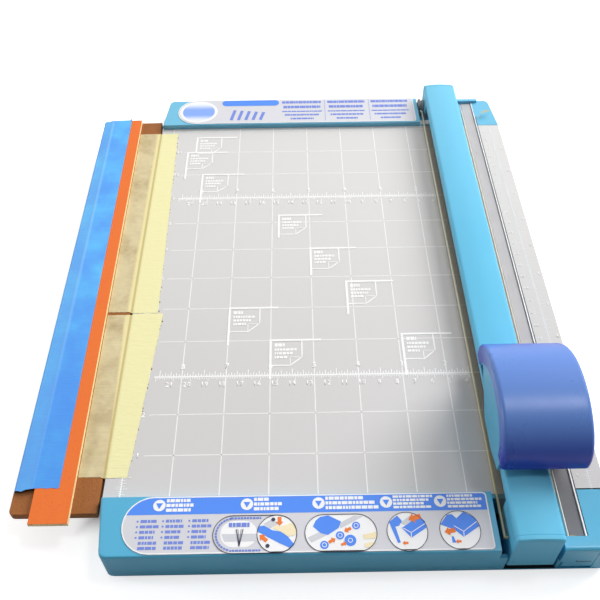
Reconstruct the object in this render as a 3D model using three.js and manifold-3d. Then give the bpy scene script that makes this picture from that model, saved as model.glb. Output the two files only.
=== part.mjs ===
import * as THREE from 'three';
import { mergeVertices } from 'three/addons/utils/BufferGeometryUtils.js';
import Module from 'manifold-3d';

const wasm = await Module();
wasm.setup();

// A rotary paper trimmer with a home-made side board taped to its deck. Lengths are in
// millimetres. While it is built, X is 0 on the cut line with the deck to the left of it,
// Y is 0 at the front end of the deck and grows to the rear, and Z is 0 on the bench.

// Free gap between neighbouring pieces, and how far a cut runs past a face
const slack = 0.3;
const overrun = 3;

// Deck: height above the bench, length along the cut, reach left and right of the cut line
const deckTop = 21;
const deckLength = 308.5;
const deckLeft = 237.3;
const deckRight = 21;
const deckSheet = 2.5;
const tongueClear = 1.8;
const tongueInset = 9;

// Edge sections and cross beams under the deck
const sideRailWidth = 11;
const sideRailWall = 2;
const sideRailClear = 2;
const beamWidth = 8;
const beamDepth = 4;
const beamPlaceShares = { front: 0.14, middle: 0.5, rear: 0.86 };

// End caps: depth along Y, rise above the deck, how much each side narrows over the depth
const capDepth = 31.7;
const capRise = 3.8;
const capTaper = 3.3;
const capWall = 2.2;
const capClear = 1.2;
const capEdge = 1.5;
const capCorner = 4;
const bedThickness = 2.4;

// Recess for the rail in both caps, left and right of the cut line
const recessLeft = 39.5;
const recessRight = 9;
const recessFloor = 3.2;
const notchGap = 0.5;
const frontSillDrop = 4;
const rearSillDrop = 1;

// Mat channel and its two mats
const channelLeft = 5;
const channelRight = 4.6;
const channelHeight = 9;
const channelEndGap = 0.9;
const channelSide = 0.8;
const brightLip = 0.3;
const matSeat = 1.6;
const matThickness = 1.2;
const matSideGap = 0.3;
const slotFloor = 1.6;
const slotHeight = 2;
const rearLipDepth = 2.6;
const rearLipRise = 1.8;
const rearLipRight = 8.8;

// Gate that closes the channel at the front
const gateRight = 8.3;
const gateDepth = 7.4;
const gateEdge = 2.4;
const gatePinRadius = 1;
const gatePinInset = 3.3;
const gatePinHeight = 7.3;
const gateEarWidth = 1.8;
const gateEarRadius = 3.5;
const gateEarSetback = 0.8;

// Rail: width, place and heights above the deck
const railWidth = 23.7;
const railRight = 11;
const railTopRise = 16.5;
const railBottomRise = 3;
const railShelfRise = 10;
const railFootHalf = 8;
const railFootThickness = 2;
const railWebHalf = 6.5;
const railEdge = 2.4;
const railEndEdge = 1.4;
const railCrown = 0.8;

// End blocks of the rail
const frontPlate = 3;
const rearPlate = 2.5;
const frontBlockLength = 23.7;
const rearBlockLength = 20.7;
const frontBlockDrop = 14;
const frontBlockDraft = 0.5;
const rightFlare = 0.6;

// Clear paper guide under the rail
const guideLeft = 37;
const guideRight = 5.4;
const guideThickness = 1.8;
const guideRearReach = 16.5;

// Rail hinge
const hingeDrop = 5;
const hingeInset = 9.2;
const pinRadius = 2;
const bushWall = 0.9;
const bushLength = 6;
const bushFlange = 0.8;
const knuckleWall = 1.6;
const knuckleInset = 2;
const earThickness = 1.6;
const earInset = 0.7;
const earRise = 7.5;
const earRadius = 5;
const bracketBase = 2;
const bracketDepth = 17.5;
const pinHead = 0.6;

// Cutter cover: ends, peak and heights above the deck, where it stands in the photograph
const coverFront = 2.5;
const coverBack = 73.5;
const coverPeak = 38;
const coverLeft = 38;
const coverRight = 6.8;
const coverTopRise = 47.2;
const coverNoseRise = 24;
const coverTailRise = 33;
const coverTailShare = 0.62;
const coverRimRise = 21.5;
const coverWall = 2.2;
const coverSideWall = 1.3;
const coverEdge = 2.2;
const coverBand = 7.2;

// Carriage: places along Y and heights above the deck
const skirtFront = 8;
const skirtRear = 67;
const skirtWall = 1.4;
const skirtRise = 7.2;
const skirtFrontRise = 11;
const skirtRearRise = 27;
const skirtFlatFront = 22;
const skirtFlatRear = 41;
const roofFront = 10;
const roofRear = 68;
const roofThickness = 2.2;
const innerWall = 2.2;

// Cutter press: travel, holder plate and its posts
const pressTravel = 2;
const plateRise = 25;
const plateThickness = 2.5;
const plateFront = 17;
const plateRear = 70;
const plateLeft = 34;
const armThickness = 5.3;
const armGap = 0.4;
const armFront = 23;
const armRear = 52;
const armFootRear = 45;
const armBottomRise = 6;
const armKneeRise = 14;
const postRadius = 1.6;
const postHeadRadius = 3.2;
const postHeadHeight = 2;
const postInset = 9;
const springRadius = 2.7;
const springWire = 0.35;
const springTurns = 3;
const bossRadius = 3;
const bossDepth = 7;
const bossSpread = 8.5;

// Blade and what carries it
const bladeRadius = 14;
const bladeHalf = 0.35;
const bladeEdge = 1.4;
const bladeClear = 2.3;
const bladeY = 33;
const axleRadius = 2;
const axleHeadRadius = 2.7;
const axleHeadLength = 1.4;
const hubSleeve = 3.4;
const hubFlange = 6;
const hubFlangeThickness = 1.6;
const guardThickness = 1.8;
const guardMargin = 2;
const guardGap = 0.3;
const guardBottomRise = 3;
const guardRear = 68;
const bridgeFront = 54;

// Fasteners
const screwRadius = 1.6;
const screwHeadRadius = 3.2;
const screwHeadHeight = 1.6;
const screwGap = 0.3;
const smallScrewRadius = 1.4;
const smallScrewHeadRadius = 2.6;

// Rubber feet
const footRadius = 7;
const footHeight = 2.2;
const footPlugRadius = 2.5;
const footPlugHeight = 5;
const footBossWall = 2.4;
const footInset = 15;
const footFromFace = 10.7;
const footRightX = 6;

// Printed panels on the caps
const panelThickness = 0.3;
const panelRims = 1.6;
const frontPanelNear = 0.3;
const frontPanelLeft = 12.7;
const rearPanelNear = 0.9;
const rearPanelLeft = 10.6;
const panelRightMargin = 2.8;
const panelCorner = 2.2;

// Rubber pad under the front end of the rail
const padWidth = 9;
const padDepth = 10;
const padFromFace = 9;

// Added board, its runners and the tapes
const seamGap = 1.6;
const boardWidth = 44.7;
const boardThickness = 5;
const boardFront = 7;
const boardPastDeck = 8.5;
const boardCorner = 3;
const runnerWidth = 12;
const runnerInset = 6;
const runnerEndInset = 15;
const stripOuterInset = 11.5;
const stripInnerInset = 13.2;
const stripLeanShare = 0.007;
const stripThickness = 2.5;
const stripOverhang = 6.2;
const tapeThickness = 0.3;
const blueFrontInset = 11.5;
const blueBackInset = 0.3;
const blueWidth = 23.3;
const blueEdgeInset = 0.5;
const blueRamp = 2;
const maskingBackInset = 14.5;
const maskingSplitShare = 0.402;
const maskingSplitGap = 1.6;
const maskingFrontInset = 19.7;
const maskingWideReach = 20;
const maskingRearReach = 15;
const maskingNarrowReach = 12.5;

// Round shapes: sides of a full circle
const sides = 32;
const smallSides = 20;
const bladeSides = 48;

// Places worked out from the sizes above
const capTop = deckTop + capRise;
const deckBottom = deckTop - deckSheet;
const channelBottom = deckTop - channelHeight;
const channelReach = capDepth - gateDepth - channelEndGap;
const channelRearReach = capDepth - rearLipDepth - slack;
const footBossRadius = footPlugRadius + slack + footBossWall;
const tongueReach = capDepth - footFromFace - footBossRadius - tongueClear;
const matFloor = deckTop - matSeat;
const matTop = matFloor + matThickness;
const front = -capDepth;
const back = deckLength + capDepth;
const railLeft = railRight + railWidth;
const railCentre = -(railRight + railWidth / 2);
const railHalf = railWidth / 2;
const railTop = deckTop + railTopRise;
const railBottom = deckTop + railBottomRise;
const railShelf = deckTop + railShelfRise;
const guideBottom = railBottom - guideThickness;
const pinY = back - hingeInset;
const pinZ = deckTop - hingeDrop;
const boreRadius = pinRadius + slack + bushWall + slack;
const knuckleRadius = boreRadius + knuckleWall;
const roofBottom = railTop + slack + slack;
const roofTop = roofBottom + roofThickness;
const skirtOuter = railLeft + slack + skirtWall;
const plateBottom = deckTop + plateRise;
const plateTop = plateBottom + plateThickness;
const coverRim = deckTop + coverRimRise;
const axleZ = matTop + bladeClear + bladeRadius;
const armRight = hubFlangeThickness + bladeHalf + armGap;
const armLeft = armRight + armThickness;
const innerWallLeft = railRight - slack;
const guardLeft = bladeHalf + hubFlangeThickness + guardGap + slack;
const guardRight = guardLeft + guardThickness;
const boardRight = -(deckLeft + seamGap);
const boardLeft = boardRight - boardWidth;
const stripLeft = boardLeft + stripOuterInset;
const stripRight = boardRight - stripInnerInset;
const gateBack = front + gateDepth;
const guideFrontReach = -gateBack - slack;
const boardBack = deckLength + boardPastDeck;
const maskingSplit = deckLength * maskingSplitShare;
const railScrewY = front + (frontPlate + frontBlockLength) / 2;
const railScrewTip = railShelf - railFootThickness;
const bracketScrewY = back - capWall - bracketDepth + screwHeadRadius;

// Shape helpers

function box(x0, x1, y0, y1, z0, z1) {
  const geometry = new THREE.BoxGeometry(x1 - x0, y1 - y0, z1 - z0);
  geometry.translate((x0 + x1) / 2, (y0 + y1) / 2, (z0 + z1) / 2);
  return geometry;
}

// A flat shape drawn out between two places; its two end faces may have rounded edges.
function drawOut(shape, length, edge, curveSegments) {
  return new THREE.ExtrudeGeometry(shape, {
    depth: length - 2 * edge,
    bevelEnabled: edge > 0,
    bevelThickness: edge,
    bevelSize: edge,
    bevelOffset: -edge,
    bevelSegments: 3,
    curveSegments,
  }).translate(0, 0, edge);
}

// A plan shape in X and Y, standing between two heights
function upright(shape, z0, z1, edge = 0, curveSegments = 6) {
  return drawOut(shape, z1 - z0, edge, curveSegments).translate(0, 0, z0);
}

// A section in X and Z, running along Y
function alongY(shape, y0, y1, edge = 0, curveSegments = 6) {
  const geometry = drawOut(shape, y1 - y0, edge, curveSegments);
  return geometry.rotateX(Math.PI / 2).translate(0, y1, 0);
}

// A side view in Y and Z, running along X
function alongX(shape, x0, x1, edge = 0, curveSegments = 6) {
  const turn = new THREE.Matrix4().makeBasis(
    new THREE.Vector3(0, 1, 0),
    new THREE.Vector3(0, 0, 1),
    new THREE.Vector3(1, 0, 0),
  );
  const geometry = drawOut(shape, x1 - x0, edge, curveSegments).applyMatrix4(turn);
  return geometry.translate(x0, 0, 0);
}

function rodX(x0, x1, y, z, radius, around = sides) {
  const geometry = new THREE.CylinderGeometry(radius, radius, x1 - x0, around);
  return geometry.rotateZ(Math.PI / 2).translate((x0 + x1) / 2, y, z);
}

function rodY(x, y0, y1, z, radius, around = sides) {
  const geometry = new THREE.CylinderGeometry(radius, radius, y1 - y0, around);
  return geometry.translate(x, (y0 + y1) / 2, z);
}

function rodZ(x, y, z0, z1, radius, around = sides) {
  const geometry = new THREE.CylinderGeometry(radius, radius, z1 - z0, around);
  return geometry.rotateX(Math.PI / 2).translate(x, y, (z0 + z1) / 2);
}

// A closed outline through points; a point with a third value is rounded by that radius.
function outline(points) {
  const corners = points.map(([x, y]) => new THREE.Vector2(x, y));
  const shape = new THREE.Shape();
  points.forEach(([, , radius = 0], i) => {
    const corner = corners[i];
    const before = corners[(i + points.length - 1) % points.length];
    const after = corners[(i + 1) % points.length];
    const enter = before.clone().sub(corner).setLength(radius).add(corner);
    const leave = after.clone().sub(corner).setLength(radius).add(corner);
    const draw = i === 0 ? 'moveTo' : 'lineTo';
    shape[draw](enter.x, enter.y);
    if (radius > 0) shape.quadraticCurveTo(corner.x, corner.y, leave.x, leave.y);
  });
  shape.closePath();
  return shape;
}

// Booleans

function toSolid(geometry) {
  const bare = geometry.clone();
  bare.deleteAttribute('normal');
  bare.deleteAttribute('uv');
  const merged = mergeVertices(bare);
  const index = merged.index.array;
  const kept = [];
  for (let i = 0; i < index.length; i += 3) {
    const [a, b, c] = [index[i], index[i + 1], index[i + 2]];
    if (a !== b && b !== c && c !== a) kept.push(a, b, c);
  }
  return new wasm.Manifold(new wasm.Mesh({
    numProp: 3,
    vertProperties: new Float32Array(merged.attributes.position.array),
    triVerts: new Uint32Array(kept),
  }));
}

function toGeometry(solid) {
  const mesh = solid.getMesh();
  const geometry = new THREE.BufferGeometry();
  geometry.setAttribute('position', new THREE.BufferAttribute(mesh.vertProperties, 3));
  geometry.setIndex(new THREE.BufferAttribute(mesh.triVerts, 1));
  geometry.computeVertexNormals();
  return geometry;
}

function cut(body, ...tools) {
  const result = tools.reduce((solid, tool) => solid.subtract(toSolid(tool)), toSolid(body));
  return toGeometry(result);
}

function join(...parts) {
  const [first, ...others] = parts.map(toSolid);
  return toGeometry(others.reduce((solid, part) => solid.add(part), first));
}

function overlapOf(a, b) {
  return toGeometry(toSolid(a).intersect(toSolid(b)));
}

// Finishes

const finishes = {
  deckPaint: { color: 0xd8d7d3, roughness: 0.55, metalness: 0.1 },
  bareMetal: { color: 0xb9bcc0, roughness: 0.35, metalness: 0.9 },
  steel: { color: 0x8d9094, roughness: 0.4, metalness: 0.9 },
  capPlastic: { color: 0x55aed4, roughness: 0.35, metalness: 0 },
  railPaint: { color: 0x4fa9d3, roughness: 0.3, metalness: 0.1 },
  mat: { color: 0x8e8d90, roughness: 0.6, metalness: 0 },
  label: { color: 0xd3d5da, roughness: 0.4, metalness: 0 },
  rubber: { color: 0x2b2d30, roughness: 0.9, metalness: 0 },
  clear: { color: 0xdfe4d4, roughness: 0.1, metalness: 0, opacity: 0.35, transparent: true },
  cover: { color: 0x4a63c4, roughness: 0.3, metalness: 0 },
  dark: { color: 0x30333a, roughness: 0.5, metalness: 0 },
  acetal: { color: 0xe6e4da, roughness: 0.5, metalness: 0 },
  hardboard: { color: 0x96602f, roughness: 0.8, metalness: 0 },
  pine: { color: 0xc9a26c, roughness: 0.8, metalness: 0 },
  orange: { color: 0xe8743a, roughness: 0.5, metalness: 0 },
  blueTape: { color: 0x5aa5f5, roughness: 0.75, metalness: 0 },
  maskingTape: { color: 0xefe3b0, roughness: 0.75, metalness: 0 },
};

function piece(name, geometry, finish) {
  const mesh = new THREE.Mesh(geometry, new THREE.MeshStandardMaterial(finishes[finish]));
  mesh.name = name;
  return mesh;
}

// Deck and what carries it

function deckPlate() {
  const right = -(channelLeft + slack);
  const tongueLeft = -(deckLeft - tongueInset);
  const tongueRight = -(recessLeft + capWall + slack);
  const shape = outline([
    [-deckLeft, slack],
    [tongueLeft, slack],
    [tongueLeft, -tongueReach],
    [tongueRight, -tongueReach],
    [tongueRight, slack],
    [right, slack],
    [right, deckLength - slack],
    [tongueRight, deckLength - slack],
    [tongueRight, deckLength + tongueReach],
    [tongueLeft, deckLength + tongueReach],
    [tongueLeft, deckLength - slack],
    [-deckLeft, deckLength - slack],
  ]);
  const plate = upright(shape, deckBottom, deckTop);
  const holes = deckScrewPlaces().map(([x, y]) =>
    rodZ(x, y, deckBottom - overrun, deckTop + overrun, screwRadius + screwGap, smallSides));
  return piece('deck_plate', cut(plate, ...holes), 'deckPaint');
}

function rightDeckStrip() {
  const left = channelRight + slack;
  const strip = box(left, deckRight, slack, deckLength - slack, deckBottom, deckTop);
  return piece('right_deck_strip', strip, 'deckPaint');
}

// An angle section: a wall down the outside and a flange under the deck
function sideRail(name, outer, side) {
  const wallInner = outer - side * sideRailWall;
  const flangeInner = outer - side * sideRailWidth;
  const shape = outline([
    [outer, sideRailClear],
    [outer, deckBottom],
    [flangeInner, deckBottom],
    [flangeInner, deckBottom - sideRailWall],
    [wallInner, deckBottom - sideRailWall],
    [wallInner, sideRailClear],
  ]);
  return piece(name, alongY(shape, slack, deckLength - slack), 'bareMetal');
}

// A beam across the base, notched where the mat channel lies on it
function crossBeam(place) {
  const y = deckLength * beamPlaceShares[place];
  const left = -(deckLeft - sideRailWidth - slack);
  const right = deckRight - sideRailWidth - slack;
  const shape = outline([
    [left, channelBottom - beamDepth],
    [right, channelBottom - beamDepth],
    [right, deckBottom],
    [channelRight + slack, deckBottom],
    [channelRight + slack, channelBottom],
    [-(channelLeft + slack), channelBottom],
    [-(channelLeft + slack), deckBottom],
    [left, deckBottom],
  ]);
  const beam = alongY(shape, y - beamWidth / 2, y + beamWidth / 2);
  return piece(`cross_beam_${place}`, beam, 'steel');
}

function deckScrewPlaces() {
  const left = -(deckLeft - tongueInset - screwHeadRadius * 3);
  const right = -(recessLeft + capWall + screwHeadRadius * 3);
  const rows = [-tongueReach / 2, deckLength + tongueReach / 2];
  return rows.flatMap((y) => [left, right].map((x) => [x, y]));
}

function deckScrew(name, [x, y]) {
  const screw = join(
    rodZ(x, y, deckBottom - screwHeadHeight, deckBottom, screwHeadRadius, smallSides),
    rodZ(x, y, deckBottom - slack, capTop - capWall / 2, screwRadius, smallSides),
  );
  return piece(name, screw, 'steel');
}

// End caps

// The plan of a cap, from inside the deck's end to its outer face
function capPlan(deckEnd, outward) {
  const outer = deckEnd + outward * capDepth;
  const inner = deckEnd - outward * overrun;
  const flare = capTaper * overrun / capDepth;
  return outline([
    [-(deckLeft + flare), inner],
    [-(deckLeft - capTaper), outer, capCorner],
    [deckRight - capTaper, outer, capCorner],
    [deckRight + flare, inner],
  ]);
}

// Hollows shared by the two caps: outward is -1 at the front and 1 at the rear
function capHollows(deckEnd, outward, sillZ) {
  const y = (distance) => deckEnd + outward * distance;
  const span = (x0, x1, from, to, z0, z1) =>
    box(x0, x1, Math.min(y(from), y(to)), Math.max(y(from), y(to)), z0, z1);
  const wallDepth = capDepth - capWall;
  const reach = outward > 0 ? channelRearReach : channelReach;
  const below = -overrun;
  const above = capTop + overrun;
  const capLeftInner = -(deckLeft - capTaper - capWall);
  const capRightInner = deckRight - capTaper - capWall;
  const recessInner = -(recessLeft + capWall);
  const rightInner = -(recessRight - capWall);
  const railNotch = -(railLeft + notchGap);
  return [
    span(-(deckLeft + capDepth), deckRight + capDepth, -capDepth, 0, below, above),
    span(capLeftInner, recessInner, -overrun, wallDepth, below, deckTop),
    span(-recessLeft, -recessRight, capWall, wallDepth, recessFloor, above),
    span(-recessLeft, -recessRight, -overrun, wallDepth, deckTop, above),
    span(-recessLeft, -recessRight, wallDepth - overrun, capDepth + overrun, sillZ, above),
    span(railNotch, -recessRight, wallDepth - overrun, capDepth + overrun, recessFloor, above),
    span(-(channelLeft + slack), channelRight + slack, -overrun, reach + slack,
      channelBottom, above),
    span(channelRight + slack + capWall, capRightInner, -overrun, reach - capWall,
      channelBottom, deckTop - bedThickness),
    span(rightInner, capRightInner, -overrun, reach - capWall,
      below, channelBottom - bedThickness),
  ];
}

// The part right of the recess is lowered to the deck's level, but for a lip at its end.
function loweredRight(deckEnd, outward, flatDepth) {
  const y0 = Math.min(deckEnd, deckEnd + outward * flatDepth);
  const y1 = Math.max(deckEnd, deckEnd + outward * flatDepth);
  const room = deckRight + overrun;
  return box(-recessRight, room, y0, y1, deckTop, capTop + overrun);
}

function footPlaces(deckEnd, outward) {
  const y = (distance) => deckEnd + outward * distance;
  return [
    [-(deckLeft - footInset), y(capDepth - footFromFace), deckTop],
    [footRightX, y(channelReach / 2), channelBottom - bedThickness / 2],
  ];
}

function footBoss([x, y, top]) {
  return rodZ(x, y, footHeight, top, footBossRadius, smallSides);
}

function footHole([x, y]) {
  const top = footHeight + footPlugHeight + slack;
  return rodZ(x, y, 0, top, footPlugRadius + slack, smallSides);
}

function screwHoles(atRear) {
  const places = deckScrewPlaces().filter(([, y]) => (y > 0) === atRear);
  return places.map(([x, y]) =>
    rodZ(x, y, deckBottom, capTop - capWall / 2 + slack, screwRadius + screwGap, smallSides));
}

function capShell(deckEnd, outward, sillZ) {
  const atRear = outward > 0;
  const block = upright(capPlan(deckEnd, outward), capClear, capTop, capEdge, 4);
  const hollow = cut(block, ...capHollows(deckEnd, outward, sillZ));
  const places = footPlaces(deckEnd, outward);
  const bossed = join(hollow, ...places.map(footBoss));
  return cut(bossed, ...places.map(footHole), ...screwHoles(atRear));
}

function frontEndCap() {
  const shell = capShell(0, -1, deckTop - frontSillDrop);
  const bay = join(
    box(-(recessRight + overrun), gateRight + slack, front - overrun, gateBack + slack,
      recessFloor, capTop + overrun),
    box(-(channelLeft + slack), channelRight + slack, gateBack - slack, -channelReach + slack,
      channelBottom, capTop),
  );
  const earTop = gatePinHeight + gateEarRadius;
  const earFront = front + gateEarSetback;
  const earShape = outline([
    [earFront, capClear],
    [gateBack + capWall, capClear],
    [gateBack + capWall, earTop],
    [earFront, earTop, gatePinInset - gateEarSetback],
  ]);
  const ear = alongX(earShape, -recessRight, -(recessRight - gateEarWidth));
  const flat = loweredRight(0, -1, capDepth - gateDepth);
  const corner = box(gateRight, deckRight + overrun, front - overrun, -capDepth / 2,
    deckTop, capTop + overrun);
  const pinHole = gatePinRod(gatePinRadius + slack);
  const eared = join(cut(shell, flat, corner, bay), ear);
  return piece('front_end_cap', cut(eared, pinHole), 'capPlastic');
}

function rearEndCap() {
  const shell = capShell(deckLength, 1, deckTop - rearSillDrop);
  const flat = loweredRight(deckLength, 1, capDepth - rearLipDepth);
  const beyondLip = box(rearLipRight, deckRight + overrun, deckLength, back + overrun,
    deckTop, capTop + overrun);
  const aboveLip = box(-recessRight, deckRight + overrun, deckLength, back + overrun,
    deckTop + rearLipRise, capTop + overrun);
  const hole = rodZ(railCentre, bracketScrewY, 0, recessFloor + overrun,
    smallScrewRadius + screwGap, smallSides);
  const cap = cut(shell, flat, beyondLip, aboveLip, hole);
  return piece('rear_end_cap', cap, 'capPlastic');
}

function foot(name, [x, y]) {
  const radii = [0, footRadius, footRadius, footPlugRadius, footPlugRadius, 0];
  const heights = [0, 0, footHeight, footHeight, footHeight + footPlugHeight];
  heights.push(footHeight + footPlugHeight);
  const profile = radii.map((radius, i) => new THREE.Vector2(radius, heights[i]));
  const turned = new THREE.LatheGeometry(profile, smallSides).rotateX(Math.PI / 2);
  const mesh = piece(name, toGeometry(toSolid(turned)), 'rubber');
  mesh.position.set(x, y, 0);
  return mesh;
}

function labelPanel(name, deckEnd, outward, margin, leftMargin) {
  const near = deckEnd + outward * margin;
  const round = (capDepth - panelRims) / 2;
  const far = near + outward * 2 * round;
  const left = -(deckLeft - leftMargin);
  const right = -(recessLeft + panelRightMargin);
  const middle = (near + far) / 2;
  const shape = new THREE.Shape();
  shape.absarc(left + round, middle, round, Math.PI / 2, 3 * Math.PI / 2, false);
  shape.lineTo(right - panelCorner, middle - round);
  shape.quadraticCurveTo(right, middle - round, right, middle - round + panelCorner);
  shape.lineTo(right, middle + round - panelCorner);
  shape.quadraticCurveTo(right, middle + round, right - panelCorner, middle + round);
  shape.closePath();
  return piece(name, upright(shape, capTop, capTop + panelThickness), 'label');
}

// Mat channel, mats and gate

function matChannel() {
  const left = -channelLeft;
  const right = channelRight;
  const grooveTop = deckTop + brightLip;
  const shape = outline([
    [left, channelBottom],
    [right, channelBottom],
    [right, grooveTop],
    [right - channelSide, grooveTop],
    [right - channelSide, matFloor],
    [left + channelSide, matFloor],
    [left + channelSide, deckTop - slack],
    [left, deckTop - slack],
  ]);
  const y0 = -channelReach;
  const y1 = deckLength + channelRearReach;
  const slot = box(left + channelSide, right - channelSide, y0 - overrun, y1 + overrun,
    channelBottom + slotFloor, channelBottom + slotFloor + slotHeight);
  return piece('mat_channel', cut(alongY(shape, y0, y1), slot), 'bareMetal');
}

function mat(name, floor) {
  const left = -channelLeft + channelSide + matSideGap;
  const right = channelRight - channelSide - matSideGap;
  const y0 = -channelReach + matSideGap;
  const y1 = deckLength + channelRearReach - matSideGap;
  return piece(name, box(left, right, y0, y1, floor, floor + matThickness), 'mat');
}

function gatePinRod(radius) {
  const left = -(recessRight - slack);
  return rodX(left, gateRight + capWall, front + gatePinInset, gatePinHeight, radius, smallSides);
}

function matGate() {
  const shape = outline([
    [front, recessFloor + slack, gatePinInset],
    [gateBack, recessFloor + slack, gateDepth - gatePinInset - slack],
    [gateBack, capTop],
    [front, capTop, gateEdge],
  ]);
  const block = alongX(shape, -(recessRight - slack), gateRight, 0, 4);
  const earRoom = box(-recessRight - overrun, -(recessRight - gateEarWidth - slack),
    front - overrun, gateBack + overrun, 0, gatePinHeight + gateEarRadius + 2 * slack);
  return piece('mat_gate', cut(block, earRoom, gatePinRod(gatePinRadius + slack)), 'capPlastic');
}

function gatePin() {
  const rod = rodX(-(recessRight - slack), gateRight + capWall - slack, front + gatePinInset,
    gatePinHeight, gatePinRadius, smallSides);
  return piece('gate_pin', rod, 'steel');
}

function restPad() {
  const y1 = front + padFromFace + padDepth;
  const top = deckTop - frontBlockDrop;
  const pad = box(railCentre - padWidth / 2, railCentre + padWidth / 2,
    front + padFromFace, y1, recessFloor, top);
  return piece('rest_pad', pad, 'rubber');
}

// Rail

// The crowned top edge of the rail and its end blocks, from right to left
function crownedTop(shape) {
  const shoulder = railTop - railCrown;
  const right = railCentre + railHalf;
  const left = railCentre - railHalf;
  shape.lineTo(right, shoulder - railEdge);
  shape.quadraticCurveTo(right, shoulder, right - railEdge, shoulder);
  shape.quadraticCurveTo(railCentre, shoulder + 2 * railCrown, left + railEdge, shoulder);
  shape.quadraticCurveTo(left, shoulder, left, shoulder - railEdge);
}

function railSection() {
  const foot = railBottom + railFootThickness;
  const shape = new THREE.Shape();
  shape.moveTo(railCentre - railFootHalf, railBottom);
  shape.lineTo(railCentre + railFootHalf, railBottom);
  shape.lineTo(railCentre + railFootHalf, foot);
  shape.lineTo(railCentre + railWebHalf, foot);
  shape.lineTo(railCentre + railWebHalf, railShelf);
  shape.lineTo(railCentre + railHalf, railShelf);
  crownedTop(shape);
  shape.lineTo(railCentre - railHalf, railShelf);
  shape.lineTo(railCentre - railWebHalf, railShelf);
  shape.lineTo(railCentre - railWebHalf, foot);
  shape.lineTo(railCentre - railFootHalf, foot);
  shape.closePath();
  return shape;
}

function blockSection(bottom, leftDraft, flare) {
  const shape = new THREE.Shape();
  shape.moveTo(railCentre - railHalf + leftDraft, bottom);
  shape.lineTo(railCentre + railHalf + flare, bottom);
  shape.lineTo(railCentre + railHalf, railShelf);
  crownedTop(shape);
  shape.lineTo(railCentre - railHalf, railShelf);
  shape.closePath();
  return shape;
}

// The rail has a screw hole from below near its front, and one into its rear end.
function railBeam() {
  const beam = alongY(railSection(), front + frontPlate, back - rearPlate, 0, 5);
  const radius = screwRadius + screwGap;
  const fromBelow = rodZ(railCentre, railScrewY, railBottom - overrun, railScrewTip + slack,
    radius, smallSides);
  const fromRear = rodY(railCentre, back - rearBlockLength, back, railShelf, radius, smallSides);
  return piece('rail_beam', cut(beam, fromBelow, fromRear), 'railPaint');
}

// Room for the rail and the paper guide inside an end block
function railRoom(y0, y1) {
  const plate = box(-(railLeft + overrun), -(railRight - overrun), y0, y1,
    railShelf - slack, railTop + overrun);
  const web = box(railCentre - railFootHalf - slack, railCentre + railFootHalf + slack,
    y0, y1, guideBottom, railShelf);
  return [plate, web];
}

function railFrontBlock() {
  const bottom = deckTop - frontBlockDrop;
  const y1 = front + frontBlockLength;
  const bar = alongY(blockSection(bottom, frontBlockDraft, rightFlare), front,
    y1 + railEndEdge, railEndEdge, 5);
  const tail = box(-(railLeft + overrun), -(railRight - overrun), y1, y1 + 2 * railEndEdge,
    0, railTop + overrun);
  const inside = front + frontPlate;
  const guideRoom = box(-(railLeft + overrun), -(railRight - overrun),
    -guideFrontReach - slack, y1 + overrun, guideBottom, railBottom);
  const holes = [
    rodZ(railCentre, railScrewY, bottom - overrun, railBottom, screwRadius + screwGap,
      smallSides),
    rodZ(railCentre, railScrewY, bottom - overrun, bottom + frontBlockDrop / 2,
      screwHeadRadius + slack, smallSides),
  ];
  const block = cut(bar, tail, ...railRoom(inside, y1 + overrun), guideRoom, ...holes);
  return piece('rail_front_block', block, 'railPaint');
}

function railScrewFront() {
  const seat = deckTop - frontBlockDrop / 2;
  const screw = join(
    rodZ(railCentre, railScrewY, seat - screwHeadHeight, seat, screwHeadRadius, smallSides),
    rodZ(railCentre, railScrewY, seat - slack, railScrewTip, screwRadius, smallSides),
  );
  return piece('rail_screw_front', screw, 'steel');
}

function railHingeBlock() {
  const y0 = back - rearBlockLength;
  const inside = back - rearPlate;
  const left = -(railLeft - knuckleInset);
  const right = -(railRight + knuckleInset);
  const bar = alongY(blockSection(railBottom, 0, 0), y0 - railEndEdge, back, railEndEdge, 5);
  const nose = box(-(railLeft + overrun), -(railRight - overrun), y0 - 2 * railEndEdge, y0,
    0, railTop + overrun);
  const neckHalf = knuckleRadius;
  const neck = box(left, right, pinY - neckHalf, pinY + neckHalf, pinZ, railBottom);
  const knuckle = rodX(left, right, pinY, pinZ, knuckleRadius, smallSides);
  const hollowBar = cut(bar, nose, ...railRoom(y0 - overrun, inside));
  const bore = rodX(left - overrun, right + overrun, pinY, pinZ, boreRadius, smallSides);
  const body = cut(join(neck, knuckle), bore);
  const link = box(left, right, pinY + neckHalf - capWall, inside + rearPlate / 2,
    guideBottom, railBottom);
  const holes = [
    rodY(railCentre, inside - overrun, back + overrun, railShelf, screwRadius + screwGap,
      smallSides),
    rodY(railCentre, back - screwHeadHeight / 2, back + overrun, railShelf,
      screwHeadRadius + slack, smallSides),
  ];
  const block = cut(join(hollowBar, body, link), ...holes);
  return piece('rail_hinge_block', block, 'railPaint');
}

function railScrewRear() {
  const seat = back - screwHeadHeight / 2;
  const screw = join(
    rodY(railCentre, seat, back, railShelf, screwHeadRadius, smallSides),
    rodY(railCentre, back - rearBlockLength / 2, seat + slack, railShelf, screwRadius,
      smallSides),
  );
  return piece('rail_screw_rear', screw, 'steel');
}

function paperGuide() {
  const y1 = back - guideRearReach + slack;
  const sheet = box(-guideLeft, -guideRight, -guideFrontReach, y1, guideBottom, railBottom);
  const hole = rodZ(railCentre, railScrewY, guideBottom - overrun, railBottom + overrun,
    screwRadius + screwGap, smallSides);
  return piece('paper_guide', cut(sheet, hole), 'clear');
}

// Rail hinge

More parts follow.
